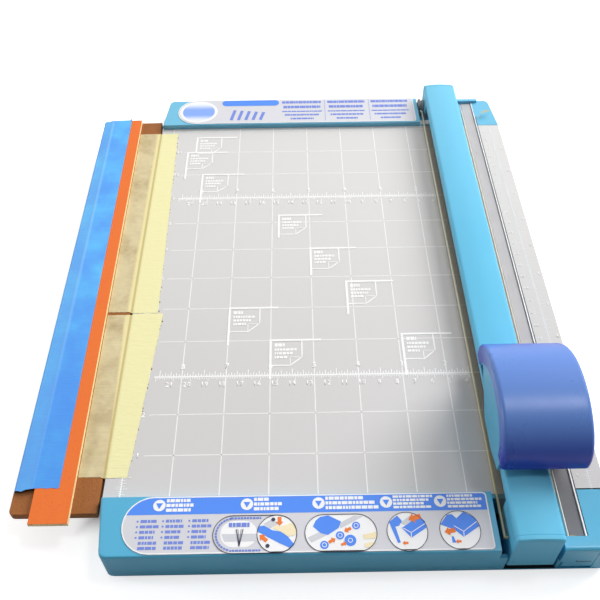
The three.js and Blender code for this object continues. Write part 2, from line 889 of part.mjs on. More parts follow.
function hingeBracket() {
  const left = -(recessLeft - earInset);
  const right = -(recessRight + slack);
  const y1 = back - capWall - slack;
  const base = box(left, right, y1 - bracketDepth, y1, recessFloor, recessFloor + bracketBase);
  const side = (top) => {
    const round = Math.min(earRadius, y1 - pinY);
    return outline([
      [pinY - round, recessFloor],
      [pinY + round, recessFloor],
      [pinY + round, top, round],
      [pinY - round, top, round],
    ]);
  };
  const tall = alongX(side(deckTop + earRise), left, left + earThickness);
  const low = alongX(side(pinZ + earRadius), right - earThickness, right);
  const pinHole = rodX(left - overrun, right + overrun, pinY, pinZ, pinRadius + slack / 2);
  const screwHole = rodZ(railCentre, bracketScrewY, recessFloor - overrun,
    recessFloor + bracketBase + overrun, smallScrewRadius + screwGap, smallSides);
  return piece('hinge_bracket', cut(join(base, tall, low), pinHole, screwHole), 'steel');
}

function bracketScrew() {
  const seat = recessFloor + bracketBase;
  const screw = join(
    rodZ(railCentre, bracketScrewY, seat, seat + screwHeadHeight, smallScrewHeadRadius,
      smallSides),
    rodZ(railCentre, bracketScrewY, capClear + slack, seat + slack, smallScrewRadius,
      smallSides),
  );
  return piece('bracket_screw', screw, 'steel');
}

function hingePin() {
  const left = -(recessLeft - earInset);
  const right = -(recessRight + slack);
  const pin = join(
    rodX(left - pinHead, right + slack / 2, pinY, pinZ, pinRadius),
    rodX(left - pinHead, left, pinY, pinZ, pinRadius + pinHead),
  );
  return piece('hinge_pin', pin, 'steel');
}

function hingeBush(name, side) {
  const face = side < 0 ? -(railLeft - knuckleInset) : -(railRight + knuckleInset);
  const x = (distance) => face - side * distance;
  const span = (a, b, radius) =>
    rodX(Math.min(x(a), x(b)), Math.max(x(a), x(b)), pinY, pinZ, radius, smallSides);
  const sleeve = span(0, bushLength, pinRadius + slack + bushWall);
  const flange = span(-bushFlange, 0, boreRadius + knuckleWall / 2);
  const bore = span(-bushFlange - overrun, bushLength + overrun, pinRadius + slack);
  return piece(name, cut(join(sleeve, flange), bore), 'acetal');
}

// Carriage

function carriageBody() {
  const wallRight = -(innerWallLeft - innerWall);
  const roof = box(-skirtOuter, wallRight, roofFront, roofRear, roofBottom, roofTop);
  const skirtShape = outline([
    [skirtFront, deckTop + skirtFrontRise],
    [skirtFlatFront, deckTop + skirtRise],
    [skirtFlatRear, deckTop + skirtRise],
    [skirtRear, deckTop + skirtRearRise],
    [skirtRear, deckTop + coverTopRise],
    [skirtFront, deckTop + coverTopRise],
  ]);
  const plate = alongX(skirtShape, -skirtOuter, -skirtOuter + skirtWall);
  const under = alongX(coverProfile(coverWall + slack, pressTravel), -skirtOuter - overrun,
    -skirtOuter + skirtWall + overrun);
  const low = box(-skirtOuter - overrun, 0, coverFront, coverBack, 0, coverRim);
  const skirt = overlapOf(plate, join(under, low));
  const inner = box(-innerWallLeft, wallRight, skirtFlatFront - skirtWall, roofRear,
    deckTop + skirtRise, roofTop);
  const holes = postPlaces().map(([x, y]) =>
    rodZ(x, y, roofBottom - overrun, roofTop + overrun, postRadius + slack, smallSides));
  return piece('carriage_body', cut(join(roof, skirt, inner), ...holes), 'capPlastic');
}

function glideShoe(name, left, right) {
  const shoe = box(left, right, skirtFlatFront, skirtFlatRear, deckTop + skirtRise,
    railShelf - slack);
  return piece(name, shoe, 'acetal');
}

function postPlaces() {
  return [plateFront + postInset, plateRear - postInset].map((y) => [railCentre, y]);
}

function guideScrew(name, [x, y]) {
  const screw = join(
    rodZ(x, y, roofBottom, plateTop + 2 * slack, postRadius, smallSides),
    rodZ(x, y, plateTop + slack, plateTop + slack + postHeadHeight, postHeadRadius, smallSides),
  );
  return piece(name, screw, 'steel');
}

// A coil spring as one unbroken tube round its post
class Coil extends THREE.Curve {
  constructor(radius, rise, turns) {
    super();
    this.radius = radius;
    this.rise = rise;
    this.turns = turns;
  }

  getPoint(t, target = new THREE.Vector3()) {
    const angle = t * this.turns * 2 * Math.PI;
    const x = this.radius * Math.cos(angle);
    const y = this.radius * Math.sin(angle);
    return target.set(x, y, t * this.rise);
  }
}

function pressSpring(name, [x, y]) {
  const rise = plateBottom - roofTop - 2 * springWire - 2 * slack;
  const wire = new THREE.Shape().absarc(0, 0, springWire, 0, 2 * Math.PI, false);
  const coil = new THREE.ExtrudeGeometry(wire, {
    steps: springTurns * 8,
    curveSegments: 5,
    bevelEnabled: false,
    extrudePath: new Coil(springRadius, rise, springTurns),
  });
  const mesh = piece(name, toGeometry(toSolid(coil)), 'steel');
  mesh.position.set(x, y, roofTop + springWire + slack);
  console.log(name, 'gap between turns', (rise / springTurns - 2 * springWire).toFixed(2));
  return mesh;
}

// Cutter

// The side view of the cover, drawn in by inset and lowered by drop
function coverProfile(inset, drop) {
  const start = coverFront + inset;
  const end = coverBack - inset;
  const rim = coverRim - (inset > 0 ? overrun : 0);
  const nose = deckTop + coverNoseRise - drop;
  const top = deckTop + coverTopRise - inset - drop;
  const tail = deckTop + coverTailRise - inset - drop;
  const shape = new THREE.Shape();
  shape.moveTo(start, rim);
  shape.lineTo(start, nose);
  shape.absellipse(coverPeak, nose, coverPeak - start, top - nose, Math.PI, Math.PI / 2, true, 0);
  const bend = coverPeak + (end - coverEdge - coverPeak) * coverTailShare;
  shape.quadraticCurveTo(bend, top, end - coverEdge, tail);
  shape.quadraticCurveTo(end, tail - coverEdge, end, tail - 2 * coverEdge);
  shape.lineTo(end, rim);
  shape.closePath();
  return shape;
}

function bossPlaces() {
  const y = (plateFront + plateRear) / 2;
  return [[railCentre - bossSpread, y], [railCentre + bossSpread, y]];
}

function cutterCover() {
  const outer = alongX(coverProfile(0, 0), -coverLeft, coverRight, coverEdge, 12);
  const rimCut = box(-coverLeft - overrun, coverRight + overrun, coverFront - overrun,
    coverBack + overrun, 0, coverRim);
  const inner = alongX(coverProfile(coverWall, 0), -coverLeft + coverSideWall,
    coverRight - coverSideWall, 0, 8);
  const opening = alongX(coverProfile(coverBand, 0), -coverLeft - overrun,
    -coverLeft + coverSideWall + overrun, 0, 8);
  const shell = cut(outer, rimCut, inner, opening);
  const roofInside = deckTop + coverTopRise - coverWall / 2;
  const bosses = bossPlaces().map(([x, y]) =>
    rodZ(x, y, plateTop, roofInside, bossRadius, smallSides));
  const bossed = overlapOf(join(shell, ...bosses), outer);
  const holes = bossPlaces().map(([x, y]) =>
    rodZ(x, y, plateTop - overrun, plateTop + bossDepth + slack, smallScrewRadius + slack,
      smallSides));
  return piece('cutter_cover', cut(bossed, ...holes), 'cover');
}

function coverScrew(name, [x, y]) {
  const screw = join(
    rodZ(x, y, plateBottom - screwHeadHeight, plateBottom, smallScrewHeadRadius, smallSides),
    rodZ(x, y, plateBottom - slack, plateTop + bossDepth, smallScrewRadius, smallSides),
  );
  return piece(name, screw, 'steel');
}

function bladeHolder() {
  const plate = box(-plateLeft, -armRight, plateFront, plateRear, plateBottom, plateTop);
  const armShape = outline([
    [armFront, plateTop],
    [armFront, deckTop + armBottomRise],
    [armFootRear, deckTop + armBottomRise],
    [armRear, deckTop + armKneeRise],
    [armRear, plateTop],
  ]);
  const arm = alongX(armShape, -armLeft, -armRight);
  const bridge = box(-armRight - overrun, guardLeft, bridgeFront, guardRear,
    plateBottom, plateTop);
  const holes = [
    ...postPlaces().map(([x, y]) =>
      rodZ(x, y, plateBottom - overrun, plateTop + overrun, postRadius + slack, smallSides)),
    ...bossPlaces().map(([x, y]) =>
      rodZ(x, y, plateBottom - overrun, plateTop + overrun, smallScrewRadius + slack,
        smallSides)),
    rodX(-armLeft - overrun, 0, bladeY, axleZ, axleRadius + slack, smallSides),
  ];
  return piece('blade_holder', cut(join(plate, arm, bridge), ...holes), 'dark');
}

function bladeAxle() {
  const axle = join(
    rodX(-armLeft, guardRight, bladeY, axleZ, axleRadius, smallSides),
    rodX(guardRight, guardRight + axleHeadLength, bladeY, axleZ, axleHeadRadius, smallSides),
  );
  return piece('blade_axle', axle, 'steel');
}

// A side plate round the blade, open at the bottom where the blade's edge comes out
function bladeGuard() {
  const round = rodX(guardLeft, guardRight, bladeY, axleZ, bladeRadius + guardMargin);
  const tail = box(guardLeft, guardRight, bladeY, guardRear, coverRim + slack + slack,
    plateTop);
  const ground = box(guardLeft - overrun, guardRight + overrun, 0, deckLength,
    0, deckTop + guardBottomRise);
  const hole = rodX(guardLeft - overrun, guardRight + overrun, bladeY, axleZ,
    axleRadius + slack, smallSides);
  return piece('blade_guard', cut(join(round, tail), ground, hole), 'dark');
}

// Blade: turned pieces about its own axis, then laid along X at the axle

function turned(points, around) {
  const profile = points.map(([radius, along]) => new THREE.Vector2(radius, along));
  const solid = toSolid(new THREE.LatheGeometry(profile, around));
  const geometry = toGeometry(solid);
  return geometry.rotateZ(-Math.PI / 2);
}

function atAxle(mesh) {
  mesh.position.set(0, bladeY, axleZ);
  return mesh;
}

function blade() {
  const bore = hubSleeve + slack;
  const edgeHalf = bladeHalf / 8;
  const disc = turned([
    [bore, -bladeHalf],
    [bladeRadius - bladeEdge, -bladeHalf],
    [bladeRadius, -edgeHalf],
    [bladeRadius, edgeHalf],
    [bladeRadius - bladeEdge, bladeHalf],
    [bore, bladeHalf],
    [bore, -bladeHalf],
  ], bladeSides);
  return atAxle(piece('blade', disc, 'bareMetal'));
}

function bladeHub() {
  const bore = axleRadius + slack;
  const start = -(bladeHalf + hubFlangeThickness);
  const end = bladeHalf + hubFlangeThickness;
  const hub = turned([
    [bore, start],
    [hubFlange, start],
    [hubFlange, -bladeHalf],
    [hubSleeve, -bladeHalf],
    [hubSleeve, end],
    [bore, end],
    [bore, start],
  ], smallSides);
  return atAxle(piece('blade_hub', hub, 'dark'));
}

function bladeRetainer() {
  const bore = hubSleeve + slack;
  const start = bladeHalf;
  const end = bladeHalf + hubFlangeThickness;
  const ring = turned([
    [bore, start],
    [hubFlange, start],
    [hubFlange, end],
    [bore, end],
    [bore, start],
  ], smallSides);
  return atAxle(piece('blade_retainer', ring, 'dark'));
}

// Added board at the left

function extensionBoard() {
  const shape = outline([
    [boardLeft, -boardFront, boardCorner],
    [boardRight, -boardFront],
    [boardRight, boardBack],
    [boardLeft, boardBack],
  ]);
  const board = upright(shape, deckTop - boardThickness, deckTop);
  return piece('extension_board', board, 'hardboard');
}

function runner(name, left) {
  const y0 = -boardFront + runnerEndInset;
  const y1 = boardBack - runnerEndInset;
  const bar = box(left, left + runnerWidth, y0, y1, 0, deckTop - boardThickness);
  return piece(name, bar, 'pine');
}

// The strip stands a little askew: what follows its edges moves left towards the rear.
function askew(geometry) {
  return geometry.applyMatrix4(new THREE.Matrix4().makeShear(0, 0, -stripLeanShare, 0, 0, 0));
}

function fenceStrip() {
  const y0 = -boardFront - stripOverhang;
  const strip = box(stripLeft, stripRight, y0, boardBack, deckTop, deckTop + stripThickness);
  return piece('fence_strip', askew(strip), 'orange');
}

// Tape over the outer edge of the board and up onto the strip
function blueTape() {
  const left = boardLeft + blueEdgeInset;
  const right = left + blueWidth;
  const low = deckTop;
  const high = deckTop + stripThickness;
  const shape = outline([
    [left - overrun, low],
    [stripLeft - blueRamp, low],
    [stripLeft, high],
    [right + overrun, high],
    [right + overrun, high + tapeThickness],
    [stripLeft - tapeThickness, high + tapeThickness],
    [stripLeft - blueRamp - tapeThickness, low + tapeThickness],
    [left - overrun, low + tapeThickness],
  ]);
  const y0 = -boardFront + blueFrontInset;
  const y1 = boardBack - blueBackInset;
  const tape = askew(alongY(shape, y0, y1));
  return piece('blue_tape', overlapOf(tape, box(left, right, y0, y1, 0, capTop)), 'blueTape');
}

// Tape from the strip over the seam onto the deck
function maskingTape(name, y0, y1, reachFront, reachBack) {
  const left = (y) => stripRight + slack - y * stripLeanShare;
  const shape = outline([
    [left(y0), y0],
    [-(deckLeft - reachFront), y0],
    [-(deckLeft - reachBack), y1],
    [left(y1), y1],
  ]);
  return piece(name, upright(shape, deckTop, deckTop + tapeThickness), 'maskingTape');
}

// Assembly: the base, the gate, and the chain of rail, carriage, cutter and blade

function makeBase() {
  const base = new THREE.Group();
  const frontFeet = footPlaces(0, -1);
  const rearFeet = footPlaces(deckLength, 1);
  const screws = deckScrewPlaces();
  const splitBack = maskingSplit + maskingSplitGap / 2;
  const splitFront = maskingSplit - maskingSplitGap / 2;
  base.add(
    deckPlate(),
    rightDeckStrip(),
    sideRail('side_rail_left', -deckLeft, -1),
    sideRail('side_rail_right', deckRight, 1),
    ...Object.keys(beamPlaceShares).map(crossBeam),
    deckScrew('deck_screw_front_left', screws[0]),
    deckScrew('deck_screw_front_right', screws[1]),
    deckScrew('deck_screw_rear_left', screws[2]),
    deckScrew('deck_screw_rear_right', screws[3]),
    frontEndCap(),
    rearEndCap(),
    foot('foot_front_left', frontFeet[0]),
    foot('foot_front_right', frontFeet[1]),
    foot('foot_rear_left', rearFeet[0]),
    foot('foot_rear_right', rearFeet[1]),
    labelPanel('front_label_panel', 0, -1, frontPanelNear, frontPanelLeft),
    labelPanel('rear_label_panel', deckLength, 1, rearPanelNear, rearPanelLeft),
    matChannel(),
    mat('cutting_mat', matFloor),
    mat('spare_mat', channelBottom + slotFloor),
    gatePin(),
    restPad(),
    hingeBracket(),
    bracketScrew(),
    hingePin(),
    extensionBoard(),
    runner('runner_outer', boardLeft + runnerInset),
    runner('runner_inner', boardRight - runnerInset - runnerWidth),
    fenceStrip(),
    blueTape(),
    maskingTape('masking_tape_rear', splitBack, boardBack - maskingBackInset,
      maskingRearReach, maskingNarrowReach),
    maskingTape('masking_tape_front', -boardFront + maskingFrontInset, splitFront,
      maskingNarrowReach, maskingWideReach),
  );
  return base;
}

function makeRail() {
  const rail = new THREE.Group();
  rail.add(
    railBeam(),
    railFrontBlock(),
    railHingeBlock(),
    railScrewFront(),
    railScrewRear(),
    paperGuide(),
    hingeBush('hinge_bush_left', -1),
    hingeBush('hinge_bush_right', 1),
  );
  return rail;
}

function makeCarriage() {
  const carriage = new THREE.Group();
  const posts = postPlaces();
  const webGap = railWebHalf + slack;
  carriage.add(
    carriageBody(),
    glideShoe('glide_shoe_left', -skirtOuter + skirtWall, railCentre - webGap),
    glideShoe('glide_shoe_right', railCentre + webGap, -innerWallLeft),
    guideScrew('guide_screw_front', posts[0]),
    guideScrew('guide_screw_rear', posts[1]),
    pressSpring('press_spring_front', posts[0]),
    pressSpring('press_spring_rear', posts[1]),
  );
  return carriage;
}

function makeCutter() {
  const cutter = new THREE.Group();
  const bosses = bossPlaces();
  cutter.add(
    cutterCover(),
    coverScrew('cover_screw_left', bosses[0]),
    coverScrew('cover_screw_right', bosses[1]),
    bladeHolder(),
    bladeAxle(),
    bladeGuard(),
  );
  return cutter;
}

function makeBlade() {
  const spinning = new THREE.Group();
  spinning.add(blade(), bladeHub(), bladeRetainer());
  return spinning;
}

const trimmer = new THREE.Group();
const cutter = makeCutter();
const carriage = makeCarriage();
const rail = makeRail();
cutter.add(makeBlade());
carriage.add(cutter);
rail.add(carriage);
trimmer.add(makeBase(), matGate(), rail);

// The finished part has its origin on the bench, under the middle of its outline.
const bounds = new THREE.Box3().setFromObject(trimmer);
const centre = bounds.getCenter(new THREE.Vector3());
trimmer.position.set(-centre.x, -centre.y, -bounds.min.z);

export default trimmer;
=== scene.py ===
import math
import random

import bpy
from mathutils import Matrix, Vector, noise


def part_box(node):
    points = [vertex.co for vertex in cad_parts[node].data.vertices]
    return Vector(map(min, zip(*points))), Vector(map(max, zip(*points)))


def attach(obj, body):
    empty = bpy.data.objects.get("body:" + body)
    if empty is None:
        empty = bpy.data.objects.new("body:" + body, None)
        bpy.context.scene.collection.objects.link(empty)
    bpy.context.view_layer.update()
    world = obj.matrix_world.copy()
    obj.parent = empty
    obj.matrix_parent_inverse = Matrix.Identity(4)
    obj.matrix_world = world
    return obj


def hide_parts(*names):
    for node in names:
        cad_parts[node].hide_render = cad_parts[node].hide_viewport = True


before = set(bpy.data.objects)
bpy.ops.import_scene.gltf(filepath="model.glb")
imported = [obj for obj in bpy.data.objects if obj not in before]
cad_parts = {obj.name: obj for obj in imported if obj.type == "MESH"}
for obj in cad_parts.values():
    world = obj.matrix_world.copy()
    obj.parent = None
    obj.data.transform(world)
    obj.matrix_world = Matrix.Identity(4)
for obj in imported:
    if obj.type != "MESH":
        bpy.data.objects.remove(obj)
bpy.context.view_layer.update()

# A rotary paper trimmer with a home-made side board. Lengths are written in millimetres
# from the cut line (x), the front end of the deck (y) and the bench (z).

MM = 0.001
CUT_LINE = (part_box("blade")[0][0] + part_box("blade")[1][0]) / 2
DECK_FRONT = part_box("front_end_cap")[1][1]
DECK_TOP = 21.0
CAP_TOP = 24.8
PANEL_TOP = 25.1
INK = 0.04
INCH = 25.4
SIXTEENTH = INCH / 16
STRIP_START = -13.2
STRIP_LEFT = -274.05
STRIP_RIGHT = -251.95
STRIP_LEAN = 0.007
RANDOM = random.Random(7)

scene = bpy.context.scene


def place(x, y, z):
    return Vector((CUT_LINE + x * MM, DECK_FRONT + y * MM, z * MM))


def strip_left(y):
    return STRIP_LEFT - STRIP_LEAN * (y - STRIP_START)


def strip_right(y):
    return STRIP_RIGHT - STRIP_LEAN * (y - STRIP_START)


def colour(red, green, blue):
    """A colour as seen, from 0 to 255, in the linear form that shaders take."""
    def linear(value):
        value /= 255
        return value / 12.92 if value <= 0.04045 else ((value + 0.055) / 1.055) ** 2.4
    return (linear(red), linear(green), linear(blue), 1.0)


# Camera, worked out from the grid printed on the deck

SENSOR = 36.0
LENS = 46.22
CAMERA_AT = place(-136.56, -179.75, 384.86)
CAMERA_RIGHT = Vector((0.9999, -0.0141, -0.0064))
CAMERA_UP = Vector((0.0148, 0.7582, 0.6519))


def add_camera():
    data = bpy.data.cameras.new("camera")
    data.sensor_fit = "HORIZONTAL"
    data.sensor_width = SENSOR
    data.lens = LENS
    data.clip_start = 0.01
    camera = bpy.data.objects.new("camera", data)
    scene.collection.objects.link(camera)
    back = CAMERA_RIGHT.cross(CAMERA_UP).normalized()
    up = back.cross(CAMERA_RIGHT).normalized()
    turn = Matrix((CAMERA_RIGHT.normalized(), up, back)).transposed()
    camera.matrix_world = Matrix.Translation(CAMERA_AT) @ turn.to_4x4()
    scene.camera = camera


# Shader nodes

def add_node(tree, kind, inputs=None, **settings):
    """A new node; an input is a value or another node's output."""
    node = tree.nodes.new("ShaderNode" + kind)
    for label, value in settings.items():
        setattr(node, label, value)
    for label, value in (inputs or {}).items():
        if isinstance(value, bpy.types.NodeSocket):
            tree.links.new(value, node.inputs[label])
        else:
            node.inputs[label].default_value = value
    return node


def add_math(tree, operation, *values):
    return add_node(tree, "Math", dict(enumerate(values)), operation=operation).outputs[0]


def add_range(tree, source, low, high, to_low=0.0, to_high=1.0):
    """A soft step from one value to another while the source goes from low to high."""
    limits = {"Value": source, "From Min": low, "From Max": high, "To Min": to_low,
              "To Max": to_high}
    return add_node(tree, "MapRange", limits, interpolation_type="SMOOTHSTEP").outputs[0]


# Light and floor: place, target, size and power of each lamp, and whether gloss mirrors it

LAMPS = (
    ("key", (1.3, 0.95, 1.0), (0, 0.05, 0), 1.2, 37.0, False),
    ("top", (0.56, 0.0, 1.5), (0, 0, 0), 0.3, 3.6, True),
    ("left", (-1.5, 0.05, 0.5), (0, 0, 0), 0.3, 5.0, True),
)
ROOM = {"From Min": -0.2, "From Max": 0.8, "To Min": 0.13, "To Max": 0.95}
FLOOR_SIZE = 8
FLOOR_DROP = 0.0002
FLOOR_SHADE = 0.75
FLOOR_GLOW = 0.7
SHADOW_FIELD = (("X", 0.008, 0.134), ("Y", 0.022, 0.187))
SHADOW_SOFT = 0.018


def add_softbox(name, location, target, size, power, mirrored):
    data = bpy.data.lights.new(name, "AREA")
    data.shape = "DISK"
    data.size = size
    data.energy = power
    lamp = bpy.data.objects.new(name, data)
    lamp.location = location
    lamp.rotation_euler = (Vector(target) - Vector(location)).to_track_quat("-Z", "Y").to_euler()
    lamp.visible_glossy = mirrored
    scene.collection.objects.link(lamp)


def set_world():
    """A room that is bright behind the table and dull in front; plain white where it is seen."""
    world = bpy.data.worlds.new("studio")
    world.use_nodes = True
    scene.world = world
    tree = world.node_tree
    tree.nodes.clear()
    where = add_node(tree, "TexCoord").outputs["Generated"]
    split = add_node(tree, "SeparateXYZ", {0: where}).outputs
    room = add_node(tree, "MapRange", {"Value": split["Y"], **ROOM}).outputs[0]
    path = add_node(tree, "LightPath").outputs
    seen = add_math(tree, "MAXIMUM", path["Is Camera Ray"], path["Is Transmission Ray"])
    strength = add_math(tree, "MAXIMUM", seen, room)
    background = add_node(tree, "Background", {"Color": (1, 1, 1, 1), "Strength": strength})
    add_node(tree, "OutputWorld", {"Surface": background.outputs[0]})


def add_floor():
    """A pale table: white to the camera outside the shadow field, and plain inside it."""
    bpy.ops.mesh.primitive_plane_add(size=FLOOR_SIZE, location=(0, 0, -FLOOR_DROP))
    floor = bpy.context.object
    floor.name = "table"
    material = bpy.data.materials.new("pale_table")
    material.use_nodes = True
    tree = material.node_tree
    tree.nodes.clear()
    where = add_node(tree, "TexCoord").outputs["Object"]
    split = add_node(tree, "SeparateXYZ", {0: where}).outputs
    clear = 0.0
    for axis, middle, reach in SHADOW_FIELD:
        away = add_math(tree, "ABSOLUTE", add_math(tree, "SUBTRACT", split[axis], middle))
        outside = add_range(tree, away, reach - SHADOW_SOFT, reach)
        clear = add_math(tree, "MAXIMUM", clear, outside)
    path = add_node(tree, "LightPath").outputs
    shown = add_math(tree, "MULTIPLY", path["Is Camera Ray"], clear)
    power = add_math(tree, "MULTIPLY", shown, FLOOR_GLOW)
    shade = (FLOOR_SHADE, FLOOR_SHADE, FLOOR_SHADE, 1)
    diffuse = add_node(tree, "BsdfDiffuse", {"Color": shade})
    glow = add_node(tree, "Emission", {"Strength": power})
    both = add_node(tree, "AddShader", {0: diffuse.outputs[0], 1: glow.outputs[0]})
    add_node(tree, "OutputMaterial", {"Surface": both.outputs[0]})
    floor.data.materials.append(material)


# Shared surface effects

FINE_RELIEF = 0.0001
COARSE_RELIEF = 0.0003


def start_group(name, **values):
    """An empty effect with named inputs and their usual values."""
    group = bpy.data.node_groups.new(name, "ShaderNodeTree")
    for label, value in values.items():
        kind = "NodeSocketVector" if isinstance(value, tuple) else "NodeSocketFloat"
        socket = group.interface.new_socket(label, in_out="INPUT", socket_type=kind)
        socket.default_value = value
    return group, group.nodes.new("NodeGroupInput").outputs


def end_group(group, **results):
    """Names what the effect puts out, and closes it."""
    for label in results:
        kind = "NodeSocketVector" if label == "Normal" else "NodeSocketFloat"
        group.interface.new_socket(label, in_out="OUTPUT", socket_type=kind)
    end = group.nodes.new("NodeGroupOutput")
    for label, source in results.items():
        group.links.new(source, end.inputs[label])
    return group


def add_noise(group, scale, detail, rough=0.55, stretch=(1, 1, 1), turn=(0, 0, 0)):
    """Noise on the object's own coordinates."""
    where = add_node(group, "TexCoord").outputs["Object"]
    mapping = add_node(group, "Mapping", {"Vector": where, "Scale": stretch, "Rotation": turn})
    settings = {"Vector": mapping.outputs[0], "Scale": scale, "Detail": detail,
                "Roughness": rough}
    return add_node(group, "TexNoise", settings).outputs["Fac"]


def add_bump(group, height, strength, depth):
    settings = {"Height": height, "Strength": strength, "Distance": depth}
    return add_node(group, "Bump", settings).outputs[0]


def tone_group():
    """Soft unevenness of tone: 0 in the dull patches and 1 in the clear ones."""
    group, start = start_group("uneven tone", Scale=20.0)
    mask = add_range(group, add_noise(group, start["Scale"], 4.0), 0.3, 0.7)
    return end_group(group, Mask=mask)


def relief_group():
    """Fine skin of a moulded or painted surface."""
    group, start = start_group("fine skin", Scale=900.0, Strength=0.1)
    grain = add_noise(group, start["Scale"], 2.0)
    return end_group(group, Normal=add_bump(group, grain, start["Strength"], FINE_RELIEF),
                     Mask=grain)


def brushed_group():
    """Fine lines drawn along the length of a metal or cut edge, which lies on y."""
    group, start = start_group("drawn lines", Scale=40.0, Strength=0.1)
    lines = add_noise(group, start["Scale"], 3.0, 0.6, (60, 0.8, 60))
    return end_group(group, Normal=add_bump(group, lines, start["Strength"], FINE_RELIEF),
                     Mask=lines)


def scratch_group():
    """Sparse thin scratches: 1 on a scratch and 0 elsewhere."""
    group, start = start_group("sparse scratches", Scale=30.0, Turn=(0, 0, 0.5))
    waves = add_noise(group, start["Scale"], 1.0, 0.5, (1, 14, 1), start["Turn"])
    off_line = add_math(group, "ABSOLUTE", add_math(group, "SUBTRACT", waves, 0.5))
    thin = add_range(group, off_line, 0.0, 0.006, 1.0, 0.0)
    worn = add_range(group, add_noise(group, 35.0, 2.0), 0.6, 0.7)
    return end_group(group, Mask=add_math(group, "MULTIPLY", thin, worn))


def crepe_group():
    """Crepe paper: close small ridges across the tape, with soft creases."""
    group, start = start_group("crepe paper", Strength=0.5)
    ridges = add_noise(group, 320.0, 3.0, 0.6, (0.35, 2.2, 1))
    creases = add_noise(group, 30.0, 3.0, 0.5, (0.8, 1.6, 1))
    height = add_math(group, "ADD", ridges, creases)
    return end_group(group, Normal=add_bump(group, height, start["Strength"], COARSE_RELIEF),
                     Ridges=ridges, Creases=creases)


def fibre_group():
    """Pressed or grown wood fibre, with dark flecks."""
    group, start = start_group("wood fibre", Scale=60.0, Strength=0.5)
    fibre = add_noise(group, start["Scale"], 6.0, 0.65, (3, 1, 3))
    fine = add_noise(group, 900.0, 3.0, 0.7)
    height = add_math(group, "ADD", fibre, fine)
    return end_group(group, Normal=add_bump(group, height, start["Strength"], COARSE_RELIEF),
                     Fibre=fibre, Flecks=add_range(group, fine, 0.58, 0.72))


TONE = tone_group()
RELIEF = relief_group()
BRUSHED = brushed_group()
SCRATCHES = scratch_group()
CREPE = crepe_group()
FIBRE = fibre_group()


# Materials

class Finish:
    """One material: a principled shader, and the masks that vary its colour and gloss."""

    def __init__(self, name, base, roughness=0.4, metallic=0.0):
        self.material = bpy.data.materials.new(name)
        self.material.use_nodes = True
        self.tree = self.material.node_tree
        self.shader = self.tree.nodes["Principled BSDF"]
        self.tint = colour(*base)
        self.set("Base Color", self.tint)
        self.set("Roughness", roughness)
        self.set("Metallic", metallic)

    def set(self, label, value):
        self.shader.inputs[label].default_value = value

    def link(self, label, source):
        self.tree.links.new(source, self.shader.inputs[label])

    def effect(self, group, **values):
        return add_node(self.tree, "Group", values, node_tree=group).outputs

    def blend(self, mask, other, amount=1.0):
        """Mixes the colour so far with another one where the mask is 1."""
        factor = add_math(self.tree, "MULTIPLY", mask, amount)
        inputs = {0: factor, 6: self.tint, 7: colour(*other)}
        self.tint = add_node(self.tree, "Mix", inputs, data_type="RGBA").outputs[2]
        self.link("Base Color", self.tint)

    def dull(self, mask, low, high):
        """Roughness runs from low to high with the mask."""
        limits = {"Value": mask, "To Min": low, "To Max": high}
        self.link("Roughness", add_node(self.tree, "MapRange", limits).outputs[0])

    def skin(self, effect):
        self.link("Normal", effect["Normal"])

    def rise(self, axis, low, high, lean=0.0):
        """A mask in millimetres along x, y or z: 0 up to low, 1 past high. It may lean with y."""
        where = add_node(self.tree, "TexCoord").outputs["Object"]
        split = add_node(self.tree, "SeparateXYZ", {0: where}).outputs
        value = split[axis]
        zero = {"X": CUT_LINE + lean * DECK_FRONT, "Y": DECK_FRONT, "Z": 0.0}[axis]
        if lean:
            value = add_math(self.tree, "MULTIPLY_ADD", split["Y"], lean, value)
        return add_range(self.tree, value, zero + low * MM, zero + high * MM)

    def fall(self, axis, low, high, lean=0.0):
        """The other way round: 1 up to low and 0 past high."""
        return add_math(self.tree, "SUBTRACT", 1.0, self.rise(axis, low, high, lean))

    def band(self, axis, low, high, soft, lean=0.0):
        """A mask that is 1 between low and high, with soft edges."""
        rise = self.rise(axis, low - soft, low + soft, lean)
        end = self.rise(axis, high - soft, high + soft, lean)
        return add_math(self.tree, "SUBTRACT", rise, end)


def plastic(name, base, dull, roughness=0.32, skin=0.08, worn=0.05):
    finish = Finish(name, base, roughness)
    tone = finish.effect(TONE, Scale=22.0)
    finish.blend(tone["Mask"], dull, 0.35)
    if worn:
        marks = finish.effect(SCRATCHES, Scale=26.0)
        finish.blend(marks["Mask"], (215, 225, 230), worn)
    finish.dull(tone["Mask"], roughness - 0.05, roughness + 0.07)
    finish.skin(finish.effect(RELIEF, Scale=1400.0, Strength=skin))
    return finish


def metal(name, base, dark, roughness=0.3, lines=0.15, metallic=1.0):
    finish = Finish(name, base, roughness, metallic)
    drawn = finish.effect(BRUSHED, Scale=40.0, Strength=lines)
    finish.blend(finish.effect(TONE, Scale=45.0)["Mask"], dark, 0.4)
    finish.dull(drawn["Mask"], roughness - 0.08, roughness + 0.12)
    finish.skin(drawn)
    return finish


def fibre_board(name, base, light, dark, scale, strength):
    finish = Finish(name, base, 0.7)
    fibre = finish.effect(FIBRE, Scale=scale, Strength=strength)
    finish.blend(fibre["Fibre"], light, 0.55)
    finish.blend(fibre["Flecks"], dark, 0.5)
    finish.dull(fibre["Fibre"], 0.55, 0.85)
    finish.skin(fibre)
    return finish


def ink(name, base, worn, roughness=0.5):
    finish = Finish(name, base, roughness)
    tone = finish.effect(TONE, Scale=160.0)
    finish.blend(tone["Mask"], worn, 0.3)
    finish.dull(tone["Mask"], roughness, roughness + 0.15)
    return finish


